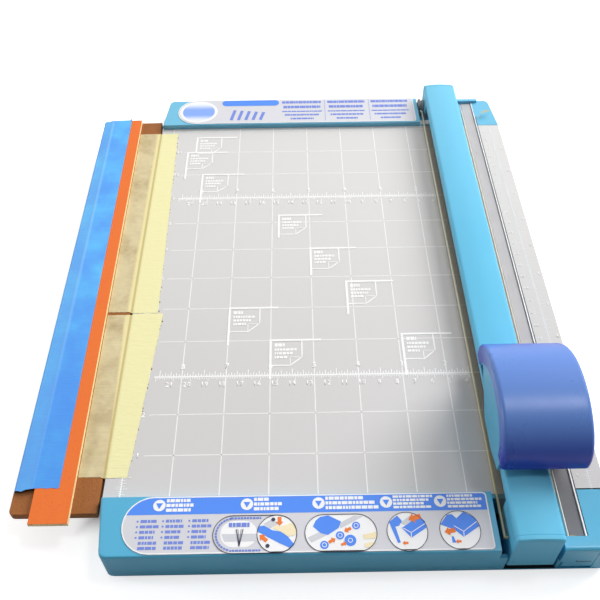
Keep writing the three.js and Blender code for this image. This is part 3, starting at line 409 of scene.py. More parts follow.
def blue_tape_finish(name):
    """Patchy blue crepe tape, darker in front; painted highlight on the fold over the strip's
    edge.
    """
    finish = Finish(name, (92, 166, 247), 0.62)
    crepe = finish.effect(CREPE, Strength=0.35)
    finish.blend(crepe["Creases"], (112, 184, 253), 0.35)
    finish.blend(crepe["Ridges"], (84, 156, 242), 0.3)
    for scale, patch, amount in ((42.0, (104, 200, 255), 0.95), (75.0, (90, 152, 244), 0.45)):
        finish.blend(finish.effect(TONE, Scale=scale)["Mask"], patch, amount)
    edge = strip_left(0.0)
    # Painted highlight: a pale band along the ridge where the tape folds over the strip's edge.
    fold = finish.band("X", edge - 0.6, edge + 1.2, 0.8, STRIP_LEAN)
    finish.blend(fold, (150, 208, 255), 0.45)
    finish.blend(finish.fall("Y", 0, 190), (70, 142, 236), 0.55)
    # Painted light: the slope left of the ridge is lightened to even out the shade it gets.
    finish.blend(finish.fall("X", edge - 0.8, edge, STRIP_LEAN), (128, 200, 255), 0.3)
    finish.skin(crepe)
    finish.set("Specular IOR Level", 0.3)
    return finish


def masking_finish(name):
    """Pale over the deck and along the seam, brown where it is stuck down on the board."""
    finish = Finish(name, (244, 238, 184), 0.66)
    crepe = finish.effect(CREPE, Strength=0.4)
    lean = 0.04
    bound = -239.4 + lean * 61.8
    finish.blend(crepe["Ridges"], (236, 228, 170), 0.35)
    rear = add_math(finish.tree, "MULTIPLY", finish.rise("Y", 123.2, 123.9),
                    finish.fall("X", -242.6, -240.0))
    front = add_math(finish.tree, "MULTIPLY", finish.fall("Y", 123.2, 123.9),
                     finish.fall("X", bound - 1.2, bound + 0.8, lean))
    stuck = add_math(finish.tree, "ADD", rear, front)
    finish.blend(finish.fall("X", -238.6, -237.9), (236, 222, 166), 0.8)
    finish.blend(stuck, (206, 189, 146), 0.96)
    for scale, patch, amount in ((190.0, (186, 165, 126), 0.75), (62.0, (234, 220, 178), 0.7)):
        mask = finish.effect(TONE, Scale=scale)["Mask"]
        finish.blend(add_math(finish.tree, "MULTIPLY", stuck, mask), patch, amount)
    # Painted shade: a dark olive band in the crease where the tape dips into the seam.
    finish.blend(finish.band("X", -238.9, -237.6, 0.5), (190, 168, 98), 0.75)
    finish.skin(crepe)
    finish.set("Specular IOR Level", 0.35)
    return finish


def deck_paint(name):
    """Pale grey paint with a few scratches, and painted shade that darkens it towards the front.
    """
    finish = Finish(name, (219, 217, 215), 0.55)
    tone = finish.effect(TONE, Scale=9.0)
    relief = finish.effect(RELIEF, Scale=1800.0, Strength=0.18)
    marks = finish.effect(SCRATCHES, Scale=18.0)
    # Painted shade: the paint darkens towards the front, where less light falls.
    finish.blend(finish.fall("Y", 0, 260), (206, 203, 203), 0.8)
    finish.blend(tone["Mask"], (213, 212, 210), 0.25)
    finish.blend(marks["Mask"], (190, 188, 184), 0.25)
    finish.blend(relief["Mask"], (224, 223, 220), 0.25)
    finish.dull(tone["Mask"], 0.5, 0.62)
    finish.skin(relief)
    finish.set("Specular IOR Level", 0.35)
    return finish


def mat_finish(name):
    """The grey mat: evener along its left third, streaked, and with painted shade in front."""
    finish = Finish(name, (206, 204, 205), 0.6)
    relief = finish.effect(RELIEF, Scale=2400.0, Strength=0.35)
    tone = finish.effect(TONE, Scale=60.0)
    streaks = finish.effect(BRUSHED, Scale=30.0, Strength=0.0)
    finish.blend(tone["Mask"], (190, 188, 190), 0.5)
    finish.blend(relief["Mask"], (196, 193, 195), 0.3)
    finish.blend(finish.fall("X", -2.9, -2.2), (196, 193, 193), 0.4)
    finish.blend(streaks["Mask"], (150, 148, 152), 0.45)
    # Painted shade: the front of the mat is darkened where the cutter head shades it.
    finish.blend(finish.fall("Y", -10, 90), (100, 100, 105), 0.85)
    finish.dull(tone["Mask"], 0.5, 0.7)
    finish.skin(relief)
    return finish


def oval_finish(name):
    """Blue in the middle of the oval and nearly white above and below."""
    finish = ink(name, (136, 172, 248), (150, 184, 250))
    for mask in (finish.rise("Y", 326.5, 335.5), finish.fall("Y", 313.0, 321.0)):
        finish.blend(mask, (246, 249, 255), 0.95)
    return finish


def clear_finish(name):
    """Clear sheet over the deck: seen through, with a faint warm tint."""
    finish = Finish(name, (170, 166, 140), 0.12)
    tone = finish.effect(TONE, Scale=30.0)
    finish.blend(tone["Mask"], (150, 150, 126), 0.5)
    finish.dull(tone["Mask"], 0.08, 0.18)
    finish.set("Alpha", 0.14)
    return finish


def clear_edge_finish(name):
    """The edge of the clear sheet: cream at the back, yellower towards the front."""
    finish = ink(name, (242, 240, 218), (226, 224, 198), 0.3)
    finish.blend(finish.fall("Y", 0, 150), (196, 186, 132), 0.75)
    return finish


# Each finish with what its recipe above takes: the material's name, its own colour, its other
# colours, and then the values that the recipe doesn't have already

PLASTICS = {
    "teal": ("teal_plastic", (82, 180, 218), (76, 172, 211)),
    "rail": ("teal_rail_paint", (100, 192, 228), (94, 187, 224), 0.42, 0.04, 0.0),
    "cover": ("violet_blue_cover", (98, 136, 208), (92, 128, 203), 0.3, 0.12, 0.0),
    "dark": ("dark_plastic", (42, 46, 58), (30, 33, 42), 0.45),
    "acetal": ("pale_acetal", (198, 194, 182), (178, 174, 162), 0.45),
    "rubber": ("black_rubber", (38, 39, 41), (54, 54, 55), 0.8, 0.4),
}
METALS = {
    "web": ("bare_rail_side", (150, 146, 120), (96, 94, 76), 0.4),
    "channel": ("drawn_channel", (228, 228, 228), (208, 208, 209), 0.4, 0.15, 0.35),
    "steel": ("plain_steel", (170, 172, 175), (120, 122, 126), 0.35),
    "dark_steel": ("dull_steel", (120, 122, 125), (80, 82, 86), 0.45),
    "old_steel": ("old_bracket_steel", (170, 170, 168), (110, 110, 106), 0.55, 0.15, 0.3),
    "blade": ("ground_blade", (215, 217, 220), (180, 182, 186), 0.18, 0.05),
}
BOARDS = {
    "hardboard": ("brown_hardboard", (150, 88, 40), (188, 122, 64), (60, 32, 16), 90.0, 0.9),
    "pine": ("raw_pine", (206, 168, 118), (222, 190, 142), (160, 112, 66), 25.0, 0.3),
    "orange": ("orange_face", (238, 114, 44), (246, 132, 58), (204, 92, 44), 70.0, 0.25),
    "cream": ("cream_core", (250, 222, 164), (254, 234, 186), (220, 176, 112), 120.0, 0.3),
}
INKS = {
    "label": ("label_silver", (216, 216, 222), (222, 223, 228), 0.4),
    "white_ink": ("white_ink", (253, 253, 252), (245, 245, 244)),
    "scale_ink": ("scale_white_ink", (250, 250, 249), (240, 240, 239)),
    "faint_ink": ("faint_white_ink", (244, 244, 242), (232, 232, 231)),
    "strip_ink": ("worn_white_ink", (232, 233, 236), (218, 218, 220)),
    "blue_ink": ("blue_ink", (84, 144, 248), (92, 150, 247)),
    "violet_ink": ("violet_blue_ink", (118, 140, 222), (130, 150, 222)),
    "orange_ink": ("orange_ink", (244, 126, 50), (240, 136, 64)),
    "cream_ink": ("cream_ink", (250, 236, 196), (246, 230, 190)),
    "dark_ink": ("dark_ink", (62, 64, 84), (76, 78, 96)),
    "paper_ink": ("label_white", (250, 250, 251), (245, 246, 248)),
    "label_grey": ("label_pale_grey", (214, 216, 222), (206, 208, 214)),
    "nib_ink": ("torn_tape", (92, 76, 58), (140, 120, 88)),
    "scuff_ink": ("scuff", (184, 190, 168), (150, 182, 184)),
    "highlight_ink": ("painted_lip_highlight", (253, 253, 253), (240, 240, 242), 0.3),
    # Painted shade for gaps: dark ink laid where the joints and the notch lie in shadow.
    "gap_shade_ink": ("painted_gap_shade", (30, 40, 46), (44, 54, 58), 0.8),
    "crumb_ink": ("crumb", (176, 160, 110), (150, 130, 84)),
    "pale_edge": ("pale_sawn_edge", (250, 246, 236), (226, 222, 206), 0.3),
}


def make_finishes():
    made = {
        "deck": deck_paint("deck_paint"), "mat": mat_finish("grey_mat"),
        "blue_tape": blue_tape_finish("blue_crepe_tape"),
        "masking": masking_finish("masking_tape"), "oval_ink": oval_finish("oval_blue_ink"),
        "clear": clear_finish("clear_guide"), "clear_edge": clear_edge_finish("sawn_clear_edge"),
    }
    recipes = ((plastic, PLASTICS), (metal, METALS), (fibre_board, BOARDS), (ink, INKS))
    for recipe, table in recipes:
        for name, values in table.items():
            made[name] = recipe(*values)
    # Painted highlight: the caps and rail are lightened towards the rear, as sheen from the bright
    # room behind.
    for teal in ("teal", "rail"):
        made[teal].blend(made[teal].rise("Y", 120, 345), (150, 218, 246), 0.3)
    # Painted shade: the lower part of the cover is blended to a deep dark blue.
    made["cover"].blend(made["cover"].fall("Z", 47, 66), (16, 34, 176), 0.86)
    for name, gloss in (("teal", 0.8), ("rail", 0.4), ("cover", 0.4)):
        made[name].set("Specular IOR Level", gloss)
    return made


# Making and finishing meshes

MERGED = 0.002
FLAT = math.radians(0.4)
SHARP = math.radians(28)


def clear_selection():
    if bpy.context.object and bpy.context.object.mode != "OBJECT":
        bpy.ops.object.mode_set(mode="OBJECT")
    bpy.ops.object.select_all(action="DESELECT")


def select(*objects):
    clear_selection()
    for item in objects:
        item.select_set(True)
    bpy.context.view_layer.objects.active = objects[0]


def settle(piece):
    """Puts the piece's place, turn and size into its mesh."""
    select(piece)
    bpy.ops.object.transform_apply(location=True, rotation=True, scale=True)


def named(name):
    piece = bpy.context.object
    piece.name = name
    piece.data.name = name
    return piece


def add_block(name, x0, x1, y0, y1, z0, z1):
    clear_selection()
    middle = place((x0 + x1) / 2, (y0 + y1) / 2, (z0 + z1) / 2)
    bpy.ops.mesh.primitive_cube_add(size=1, location=middle)
    piece = named(name)
    piece.scale = ((x1 - x0) * MM, (y1 - y0) * MM, (z1 - z0) * MM)
    settle(piece)
    return piece


def add_patch(name, x0, x1, y0, y1, z, turn):
    clear_selection()
    middle = place((x0 + x1) / 2, (y0 + y1) / 2, z)
    bpy.ops.mesh.primitive_plane_add(size=1, location=middle, rotation=(0, 0, turn))
    piece = named(name)
    piece.scale = ((x1 - x0) * MM, (y1 - y0) * MM, 1)
    settle(piece)
    return piece


def add_outline(name, points, z):
    """A flat face through the points, turned to face up."""
    clear_selection()
    bpy.ops.mesh.primitive_circle_add(vertices=len(points), radius=1, fill_type="NGON")
    piece = named(name)
    settle(piece)
    corners = [place(x, y, z) for x, y in points]
    area = sum(a.x * b.y - b.x * a.y for a, b in zip(corners, corners[1:] + corners[:1]))
    if area < 0:
        corners.reverse()
    for index, corner in zip(list(piece.data.polygons[0].vertices), corners):
        piece.data.vertices[index].co = corner
    return piece


def edit(piece, mode="FACE"):
    select(piece)
    bpy.ops.object.mode_set(mode="EDIT")
    bpy.ops.mesh.select_mode(type=mode)
    bpy.ops.mesh.select_all(action="SELECT")


def done():
    bpy.ops.object.mode_set(mode="OBJECT")


def raise_face(piece, height):
    edit(piece)
    bpy.ops.mesh.extrude_region_move(TRANSFORM_OT_translate={"value": (0, 0, height * MM)})
    bpy.ops.mesh.select_all(action="SELECT")
    bpy.ops.mesh.normals_make_consistent(inside=False)
    done()


def keep_ring(piece, width):
    """Leaves only the rim of a flat face."""
    edit(piece)
    bpy.ops.mesh.inset(thickness=width * MM, use_even_offset=True)
    bpy.ops.mesh.delete(type="FACE")
    done()


def modify(piece, kind, **settings):
    select(piece)
    change = piece.modifiers.new(kind.lower(), kind)
    for label, value in settings.items():
        setattr(change, label, value)
    bpy.ops.object.modifier_apply(modifier=change.name)


def smooth(piece, angle=35):
    select(piece)
    bpy.ops.object.shade_smooth_by_angle(angle=math.radians(angle))


def joined(name, pieces):
    select(*pieces)
    if len(pieces) > 1:
        bpy.ops.object.join()
    return named(name)


def eased_blocks(name, bevel, segments, *blocks):
    """Small blocks as one piece, with bevelled edges."""
    piece = joined(name, [add_block(name, *block) for block in blocks])
    modify(piece, "BEVEL", width=bevel * MM, segments=segments)
    smooth(piece)
    return piece


def dress(piece, body, slot, *finishes, nodes=()):
    """Gives a finished piece its material, the body that it rides on and what it replaces."""
    piece.data.materials.clear()
    for finish in finishes:
        piece.data.materials.append(FINISHES[finish].material)
    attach(piece, body)
    if nodes:
        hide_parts(*nodes)


def round_edges(piece, chosen, width):
    """Rounds off the edges whose two ends both lie where the test, in millimetres, says."""
    edit(piece, "EDGE")
    bpy.ops.mesh.select_all(action="DESELECT")
    done()
    for edge in piece.data.edges:
        ends = [piece.data.vertices[index].co / MM for index in edge.vertices]
        edge.select = chosen(*ends)
    select(piece)
    bpy.ops.object.mode_set(mode="EDIT")
    bpy.ops.mesh.bevel(offset=width * MM, segments=4, affect="EDGES", clamp_overlap=True)
    done()


# Limits of the edges that are rounded off more than the rest, in the frame's own millimetres

CAP_EDGE_HEIGHT = 24.7
CAP_EDGE_REACH = 185.8
CAP_EDGE_LEFT = -105.8
COVER_EDGE_HEIGHT = 43.5
COVER_EDGE_LEFT = 93.4
COVER_EDGE_RIGHT = 138.0
NOSE_EDGE_HEIGHT = 35.0


def cap_edges(a, b):
    """The long outer edge of either cap's top."""
    outer = min(a.y, b.y) > CAP_EDGE_REACH or max(a.y, b.y) < -CAP_EDGE_REACH
    return min(a.z, b.z) > CAP_EDGE_HEIGHT and outer


def cap_ends(a, b):
    """The left end of either cap's top."""
    return min(a.z, b.z) > CAP_EDGE_HEIGHT and max(a.x, b.x) < CAP_EDGE_LEFT


def cover_edges(a, b):
    """The curved edges on both sides of the cutter cover."""
    beside = max(a.x, b.x) < COVER_EDGE_LEFT or min(a.x, b.x) > COVER_EDGE_RIGHT
    return min(a.z, b.z) > COVER_EDGE_HEIGHT and beside


def nose_edges(a, b):
    """The upper edges at the front of the rail's end block."""
    return max(a.y, b.y) < -CAP_EDGE_REACH and min(a.z, b.z) > NOSE_EDGE_HEIGHT


def worked_copy(node, name, width, rounded=()):
    """A copy of a CAD solid with its flat faces merged and its edges eased."""
    clear_selection()
    piece = bpy.data.objects.new(name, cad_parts[node].data.copy())
    piece.data.name = name
    scene.collection.objects.link(piece)
    edit(piece, "VERT")
    bpy.ops.mesh.remove_doubles(threshold=MERGED * MM)
    bpy.ops.mesh.dissolve_limited(angle_limit=FLAT, delimit=set())
    done()
    for chosen, radius in rounded:
        round_edges(piece, chosen, radius)
    if width:
        modify(piece, "BEVEL", width=width * MM, segments=2, limit_method="ANGLE",
               angle_limit=SHARP, use_clamp_overlap=True)
    smooth(piece)
    modify(piece, "WEIGHTED_NORMAL", keep_sharp=True, weight=100)
    return piece


FINISHES = make_finishes()


# Printed marks

TEXT_SIZE = 1.4
TEXT_WEIGHT = 0.07
SHORTEST_WORD = 0.9
SHORTEST_END = 0.5
WORD_GAP = 0.34
ARROW = ((0, 0), (-0.45, 0.42), (-0.45, 0.2), (-1, 0.2), (-1, -0.2), (-0.45, -0.2), (-0.45, -0.42))


class Print:
    """Flat marks of one ink on one surface, joined and given the thickness of the ink."""

    def __init__(self, name, surface, finish, slot):
        self.name, self.surface, self.finish, self.slot = name, surface, finish, slot
        self.marks = []

    def bar(self, x0, x1, y0, y1, turn=0.0):
        self.marks.append(add_patch(self.name, x0, x1, y0, y1, self.surface, turn))

    def line(self, x0, y0, x1, y1, width):
        along, side = math.hypot(x1 - x0, y1 - y0) / 2, width / 2
        x, y = (x0 + x1) / 2, (y0 + y1) / 2
        self.bar(x - along, x + along, y - side, y + side, math.atan2(y1 - y0, x1 - x0))

    def ticks(self, x, y, width, height, count, step_x=0.0, step_y=0.0):
        """A row of like marks; each starts at its lower left corner."""
        self.bar(x, x + width, y, y + height)
        modify(self.marks[-1], "ARRAY", count=count, use_relative_offset=False,
               use_constant_offset=True, constant_offset_displace=(step_x * MM, step_y * MM, 0))

    def rising_ticks(self, x, y, thickness, pitch, count, rows):
        """A scale along y; a row has its offset from x, the length of its ticks and its step."""
        for offset, length, step in rows:
            self.ticks(x + offset, y + step * pitch, length, thickness, count // step,
                       step_y=step * pitch)

    def shape(self, points):
        self.marks.append(add_outline(self.name, points, self.surface))

    def ring(self, points, width):
        self.shape(points)
        keep_ring(self.marks[-1], width)

    def disc(self, x, y, radius, sides=28):
        self.shape(round_points(x, y, radius, sides))

    def circle(self, x, y, radius, width, sides=36):
        self.ring(round_points(x, y, radius, sides), width)

    def number(self, value, x, y, height):
        clear_selection()
        bpy.ops.object.text_add(location=place(x, y, self.surface))
        text = bpy.context.object.data
        text.body = str(value)
        text.size = height * TEXT_SIZE * MM
        text.align_x = "CENTER"
        text.align_y = "CENTER"
        text.resolution_u = 2
        text.offset = TEXT_WEIGHT * MM
        bpy.ops.object.convert(target="MESH")
        mark = named(self.name)
        settle(mark)
        self.marks.append(mark)

    def words(self, x0, x1, y, height, longest=3.0):
        """A row of plain short bars where the real one has a row of words."""
        x = x0
        while x < x1 - SHORTEST_END:
            length = min(RANDOM.uniform(SHORTEST_WORD, longest), x1 - x)
            self.bar(x, x + length, y - height / 2, y + height / 2)
            x += length + WORD_GAP

    def arrow(self, x, y, turn, size):
        """A broad arrow; its point is at x, y and it points along the turn, in degrees."""
        cos, sin = math.cos(math.radians(turn)), math.sin(math.radians(turn))
        self.shape([(x + size * (u * cos - v * sin), y + size * (u * sin + v * cos))
                    for u, v in ARROW])

    def finished(self):
        piece = joined(self.name, self.marks)
        raise_face(piece, INK)
        dress(piece, "base", self.slot, self.finish)


def round_points(x, y, radius, sides=28, start=0.0, end=360.0):
    """Points on a circle, or on a part of it, in degrees."""
    steps = sides if end - start >= 360 else sides - 1
    turns = [math.radians(start + (end - start) * i / steps) for i in range(sides)]
    return [(x + radius * math.cos(turn), y + radius * math.sin(turn)) for turn in turns]


def oval_points(x, y, wide, high):
    """Points on an oval, given its half width and half height."""
    return [(x + wide * u, y + high * v) for u, v in round_points(0, 0, 1, 40)]


def rounded_box(x0, x1, y0, y1, radius):
    """A box with round corners, as points; a radius of half its height gives round ends."""
    points = []
    for x, y, start in ((x1 - radius, y1 - radius, 0), (x0 + radius, y1 - radius, 90),
                        (x0 + radius, y0 + radius, 180), (x1 - radius, y0 + radius, 270)):
        points += round_points(x, y, radius, 9, start, start + 90)
    return points


def panel_points(x0, x1, y0, y1):
    """A label with a half-round left end and small corners at the right."""
    radius, corner = (y1 - y0) / 2, 2.0
    points = round_points(x0 + radius, (y0 + y1) / 2, radius, 25, 90, 270)
    points += round_points(x1 - corner, y0 + corner, corner, 6, 270, 360)
    points += round_points(x1 - corner, y1 - corner, corner, 6, 0, 90)
    return points


# Deck scales

GRID_RIGHT = -24.0
GRID_LEFT = -219.0
SCALE_LEFT = -218.2
RULERS = (76.2, 228.6)
SIDE_RULER = -9 * INCH
SIDE_NUMBERS = -222.4
STRIP_RULER = 13.6
PAGE_CORNERS = ((-210, 297, 17), (-215.9, 279.4, 30), (-203.2, 254, 30), (-148, 210, 22),
                (-127, 177.8, 24), (-105, 148, 27), (-177.8, 127, 29), (-152.4, 101.6, 28),
                (-74, 105, 30))


def deck_print(name, layer, finish):
    return Print(name, DECK_TOP + layer * INK, finish, "deck_paint")


def print_grid():
    """Lines an inch apart; the one at 8 inches stops short of the rear, as it does for real."""
    grid = deck_print("deck_grid", 0, "faint_ink")
    for inch in range(2, 10):
        grid.bar(-inch * INCH - 0.3, -inch * INCH + 0.3, 2.0, 224.0 if inch == 8 else 307.5)
    for inch in range(1, 13):
        grid.bar(GRID_LEFT, GRID_RIGHT, inch * INCH - 0.28, inch * INCH + 0.28)
    grid.finished()


def print_rulers():
    """Two rulers across the deck: sixteenths of an inch above the line, millimetres below it."""
    ruler = deck_print("deck_rulers", 1, "scale_ink")
    half = 0.5
    for y in RULERS:
        ruler.bar(GRID_LEFT, GRID_RIGHT, y - half, y + half)
        for base, height, step in ((0, 1.3, 1), (1.3, 0.8, 2), (2.1, 0.8, 4), (2.9, 1.1, 8)):
            ruler.ticks(-8.5 * INCH - 0.25, y + half + base, 0.5, height, 112 // step + 1,
                        step * SIXTEENTH)
        for base, height, step in ((1.2, 1.2, 1), (1.9, 0.7, 5), (2.8, 0.9, 10)):
            ruler.ticks(SCALE_LEFT, y - half - base, 0.4, height, 180 // step + 1, step)
    ruler.finished()


def print_ruler_numbers():
    numbers = deck_print("deck_numbers", 1, "scale_ink")
    for y in RULERS:
        for inch in range(2, 9):
            numbers.number(inch, -inch * INCH, y + 6.8, 4.0)
        for centimetre in range(4, 22):
            numbers.number(centimetre, -10 * centimetre, y - 5.6, 3.3)
    for inch in range(1, 12):
        numbers.number(inch, SIDE_NUMBERS, inch * INCH, 3.2)
    numbers.finished()


def print_side_ruler():
    ruler = deck_print("side_ruler", 1, "scale_ink")
    ruler.bar(SIDE_RULER - 0.3, SIDE_RULER + 0.3, 1.5, 307.0)
    ruler.rising_ticks(SIDE_RULER, -0.16, 0.32, SIXTEENTH, 190,
                       ((0.3, 1.4, 1), (1.7, 0.8, 2), (2.5, 0.9, 4), (3.4, 1.2, 8)))
    ruler.rising_ticks(SIDE_RULER, 1.85, 0.3, 1, 300,
                       ((-1.6, 1.3, 1), (-2.5, 0.9, 5), (-3.6, 1.1, 10)))
    ruler.finished()


def print_page_marks():
    """Corner lines that show common page sizes, each with a small turned-up sheet."""
    marks = deck_print("page_marks", 3, "white_ink")
    sheets = deck_print("page_sheets", 2, "white_ink")
    half, thin, fold = 0.7, 0.4, 0.25
    for x, y, drop in PAGE_CORNERS:
        right, low, fold_x, fold_y = x + 18.5, y - 18.5, x + 11.5, y - 12.5
        marks.bar(x - half, x + 30, y - half, y + half)
        marks.bar(x - half, x + half, y - drop, y - half)
        sheets.bar(right - thin, right + thin, fold_y, y - half)
        sheets.line(right, fold_y + 0.1, fold_x, low - 0.1, 2 * thin)
        sheets.bar(x + half, fold_x, low - thin, low + thin)
        sheets.bar(fold_x + 0.2, right - thin, fold_y - fold, fold_y + fold)
        sheets.bar(fold_x - fold, fold_x + fold, low + thin, fold_y - fold)
        sheets.words(x + 2.4, x + 8.4, y - 3.6, 2.4, 2.4)
        for row, length in ((7.0, 13.0), (9.8, 11.0), (12.6, 8.0)):
            sheets.words(x + 2.4, x + 2.4 + length, y - row, 1.7, 2.2)
    marks.finished()
    sheets.finished()


def print_strip_ruler():
    """A faint worn scale along the strip to the right of the cut."""
    ruler = deck_print("strip_ruler", 0, "strip_ink")
    ruler.bar(STRIP_RULER - 0.2, STRIP_RULER + 0.2, 2, 305)
    ruler.rising_ticks(STRIP_RULER, 0, 0.26, SIXTEENTH, 190,
                       ((0.2, 1.1, 1), (1.3, 0.6, 2), (1.9, 0.8, 4), (2.7, 0.9, 8)))
    ruler.rising_ticks(STRIP_RULER, 0, 0.26, 1, 300,
                       ((-1.3, 1.1, 1), (-2.1, 0.8, 5), (-3.1, 1.0, 10)))
    for centimetre in range(1, 31):
        ruler.number(centimetre, 8.0, 10 * centimetre, 2.3)
    for inch in range(1, 12):
        ruler.number(inch, 18.6, inch * INCH, 2.6)
    ruler.finished()


# Front label: plain bars for words, and simple pictures of the parts being handled

LAYER = 0.03
LABEL = (-224.6, -42.3, -30.4, -0.3)
BAND_LOW = -10.0
HEAD_ROW = -5.1
HEAD_MARKS = ((-206.9, (12.6, 13.6, 12.4)), (-163.0, (8.2, 14.0, 12.4)),
              (-127.1, (19.0, 25.0, 26.4)), (-93.2, (20.0, 18.6, 15.6, 19.0)),
              (-66.0, (13.0, 17.4, 15.0, 17.0)))
COLUMNS = (-217.0, -204.4, -191.4)
COLUMN_ROWS = ((13.4, 8.0), (16.2, 9.6), (19.0, 7.6), (21.8, 7.2), (24.6, 9.4), (27.2, 9.0))
LONG_PICTURES = ((-179.4, -138.0, -30.6, -11.0), (-134.4, -98.8, -30.6, -11.1))
ROUND_PICTURES = ((-84.1, -20.7), (-58.2, -20.4))
LENS_PICTURE = (-147.9, -20.9)
DIAL = (-169.6, -20.8, 8.1)
WHEELS = ((-124.9, -26.9, 2.1), (-117.1, -22.2, 2.1), (-112.2, -24.8, 2.9), (-109.0, -17.3, 2.0))
SHADES = (
    ((-175.0, -20.6), (-157.6, -20.6), (-157.6, -24.4), (-173.4, -24.4)),
    ((-132.9, -23.0), (-124.6, -19.2), (-123.0, -21.7), (-131.2, -25.7)),
    ((-117.6, -16.2), (-109.6, -11.9), (-105.4, -12.6), (-116.6, -18.6)),
    ((-154.6, -15.6), (-150.4, -13.2), (-147.2, -15.6), (-151.6, -18.4)),
    ((-87.3, -16.3), (-81.9, -12.4), (-79.8, -13.8), (-84.5, -17.9)),
    ((-62.4, -15.4), (-60.4, -13.2), (-58.2, -15.0), (-60.6, -16.8)),
)
DRAWN_PARTS = (
    ((-157.0, -17.0), (-154.3, -16.5), (-150.3, -19.0), (-146.4, -19.7), (-142.5, -22.4),
     (-139.4, -26.4), (-141.2, -28.2), (-146.4, -25.8), (-152.2, -22.6), (-157.2, -19.7)),
    ((-130.2, -17.4), (-128.8, -14.4), (-126.6, -12.5), (-122.6, -11.7), (-116.3, -15.1),
     (-117.6, -18.4), (-123.0, -21.9), (-126.4, -21.0)),
    ((-92.6, -15.7), (-88.4, -12.4), (-86.2, -15.3), (-87.9, -17.8), (-89.7, -18.2),
     (-87.9, -26.2), (-89.2, -26.6), (-91.6, -19.2)),
    ((-86.7, -18.9), (-82.4, -24.0), (-74.6, -19.0), (-74.9, -15.5), (-78.2, -12.7),
     (-83.4, -16.9)),
    ((-67.6, -17.4), (-63.6, -12.4), (-61.2, -12.2), (-59.2, -14.4), (-55.4, -11.0),
     (-50.4, -13.9), (-48.6, -18.6), (-56.9, -24.0), (-61.0, -20.2)),
    ((-62.8, -23.6), (-61.9, -23.6), (-60.9, -26.8), (-62.9, -26.8)),
)
DRAWN_CORNERS = (
    ((-86.0, -19.0), (-82.3, -21.4), (-75.0, -16.8), (-82.4, -23.8)),
    ((-61.0, -18.2), (-56.6, -21.2), (-49.2, -16.0), (-56.8, -23.8)),
)
DRAWN_HANDS = (
    ((-150.0, -18.0), (-148.8, -16.6), (-145.6, -17.0), (-140.4, -15.2), (-138.4, -19.0),
     (-139.0, -21.6), (-142.2, -22.4), (-145.8, -19.9)),
    ((-106.0, -22.0), (-99.4, -20.6), (-99.2, -24.0), (-105.6, -24.4)),
    ((-105.8, -26.6), (-100.2, -25.4), (-102.6, -28.8), (-105.4, -28.4)),
)
ARROWS = ((-146.6, -16.8, 270, 4.6), (-156.4, -21.4, 140, 4.8), (-119.4, -23.8, 30, 3.8),
          (-115.0, -20.2, 205, 3.8), (-114.0, -26.0, 20, 3.0), (-83.0, -14.6, 195, 6.4),
          (-87.0, -26.6, 180, 2.8), (-66.0, -21.4, 190, 5.4), (-61.2, -26.2, 180, 2.8))


def label_print(name, layer, finish):
    return Print(name, PANEL_TOP + layer * LAYER, finish, "label")


def print_front_label():
    """The pale edge of the label, and the blue band along its top."""
    left, right, low, high = LABEL
    edge = label_print("front_label_edge", 0, "paper_ink")
    edge.ring(panel_points(left + 0.15, right - 0.15, low + 0.15, high - 0.15), 0.55)
    edge.finished()
    radius, middle = 14.3, (low + high) / 2
    cut = math.degrees(math.asin((BAND_LOW - middle) / radius))
    band = label_print("front_label_band", 0, "blue_ink")
    points = round_points(left + 15.05, middle, radius, 12, 90, 180 - cut)
    points += [(right - 0.8, BAND_LOW)]
    points += round_points(right - 2.3, high - 2.3, 1.5, 6, 0, 90)
    band.shape(points)
    band.finished()


def print_label_heads():
    """White spots with a pointer, and the white bars beside them."""
    spots = label_print("front_label_spots", 2, "paper_ink")
    pointers = label_print("front_label_pointers", 4, "blue_ink")
    for x, lengths in HEAD_MARKS:
        spots.disc(x, HEAD_ROW, 3.1)
        pointers.shape([(x - 1.7, HEAD_ROW + 1.2), (x, HEAD_ROW - 1.9), (x + 1.7, HEAD_ROW + 1.2)])
        pitch = 7.6 / len(lengths)
        for row, length in enumerate(lengths):
            spots.words(x + 3.5, x + 3.5 + length, -1.3 - pitch * (row + 0.5), pitch * 0.68)
    spots.finished()
    pointers.finished()


def print_label_columns():
    """Three columns of plain bars, the first four of each with a dot before them."""
    columns = label_print("front_label_columns", 0, "violet_ink")
    for x in COLUMNS:
        for row, (depth, length) in enumerate(COLUMN_ROWS):
            if row < 4:
                columns.disc(x + 0.2, -depth, 0.55, 10)
            columns.words(x + 1.6, x + 1.6 + length, -depth, 1.55, 3.4)
    columns.finished()


def print_picture_frames():
    """The fields behind the pictures, and their dark outlines."""
    fields = label_print("front_label_fields", 0, "paper_ink")
    grey = label_print("front_label_shade", 2, "label_grey")
    edges = label_print("front_label_outlines", 6, "dark_ink")
    for x0, x1, y0, y1 in LONG_PICTURES:
        edges.ring(rounded_box(x0, x1, y0, y1, (y1 - y0) / 2 - 0.01), 0.34)
    x0, x1, y0, y1 = LONG_PICTURES[1]
    fields.shape(rounded_box(x0 + 0.2, x1 - 0.2, y0 + 0.2, y1 - 0.2, (y1 - y0) / 2 - 0.21))
    fields.shape(rounded_box(-175.6, -157.5, -27.4, -13.9, 6.7))
    fields.disc(*LENS_PICTURE, 9.8, 36)
    edges.circle(*LENS_PICTURE, 9.9, 0.34)
    for x, y in ROUND_PICTURES:
        fields.disc(x, y, 9.9, 36)
        edges.circle(x, y, 10.1, 0.3)
    for points in SHADES:
        grey.shape(points)
    fields.finished()
    grey.finished()
    edges.finished()


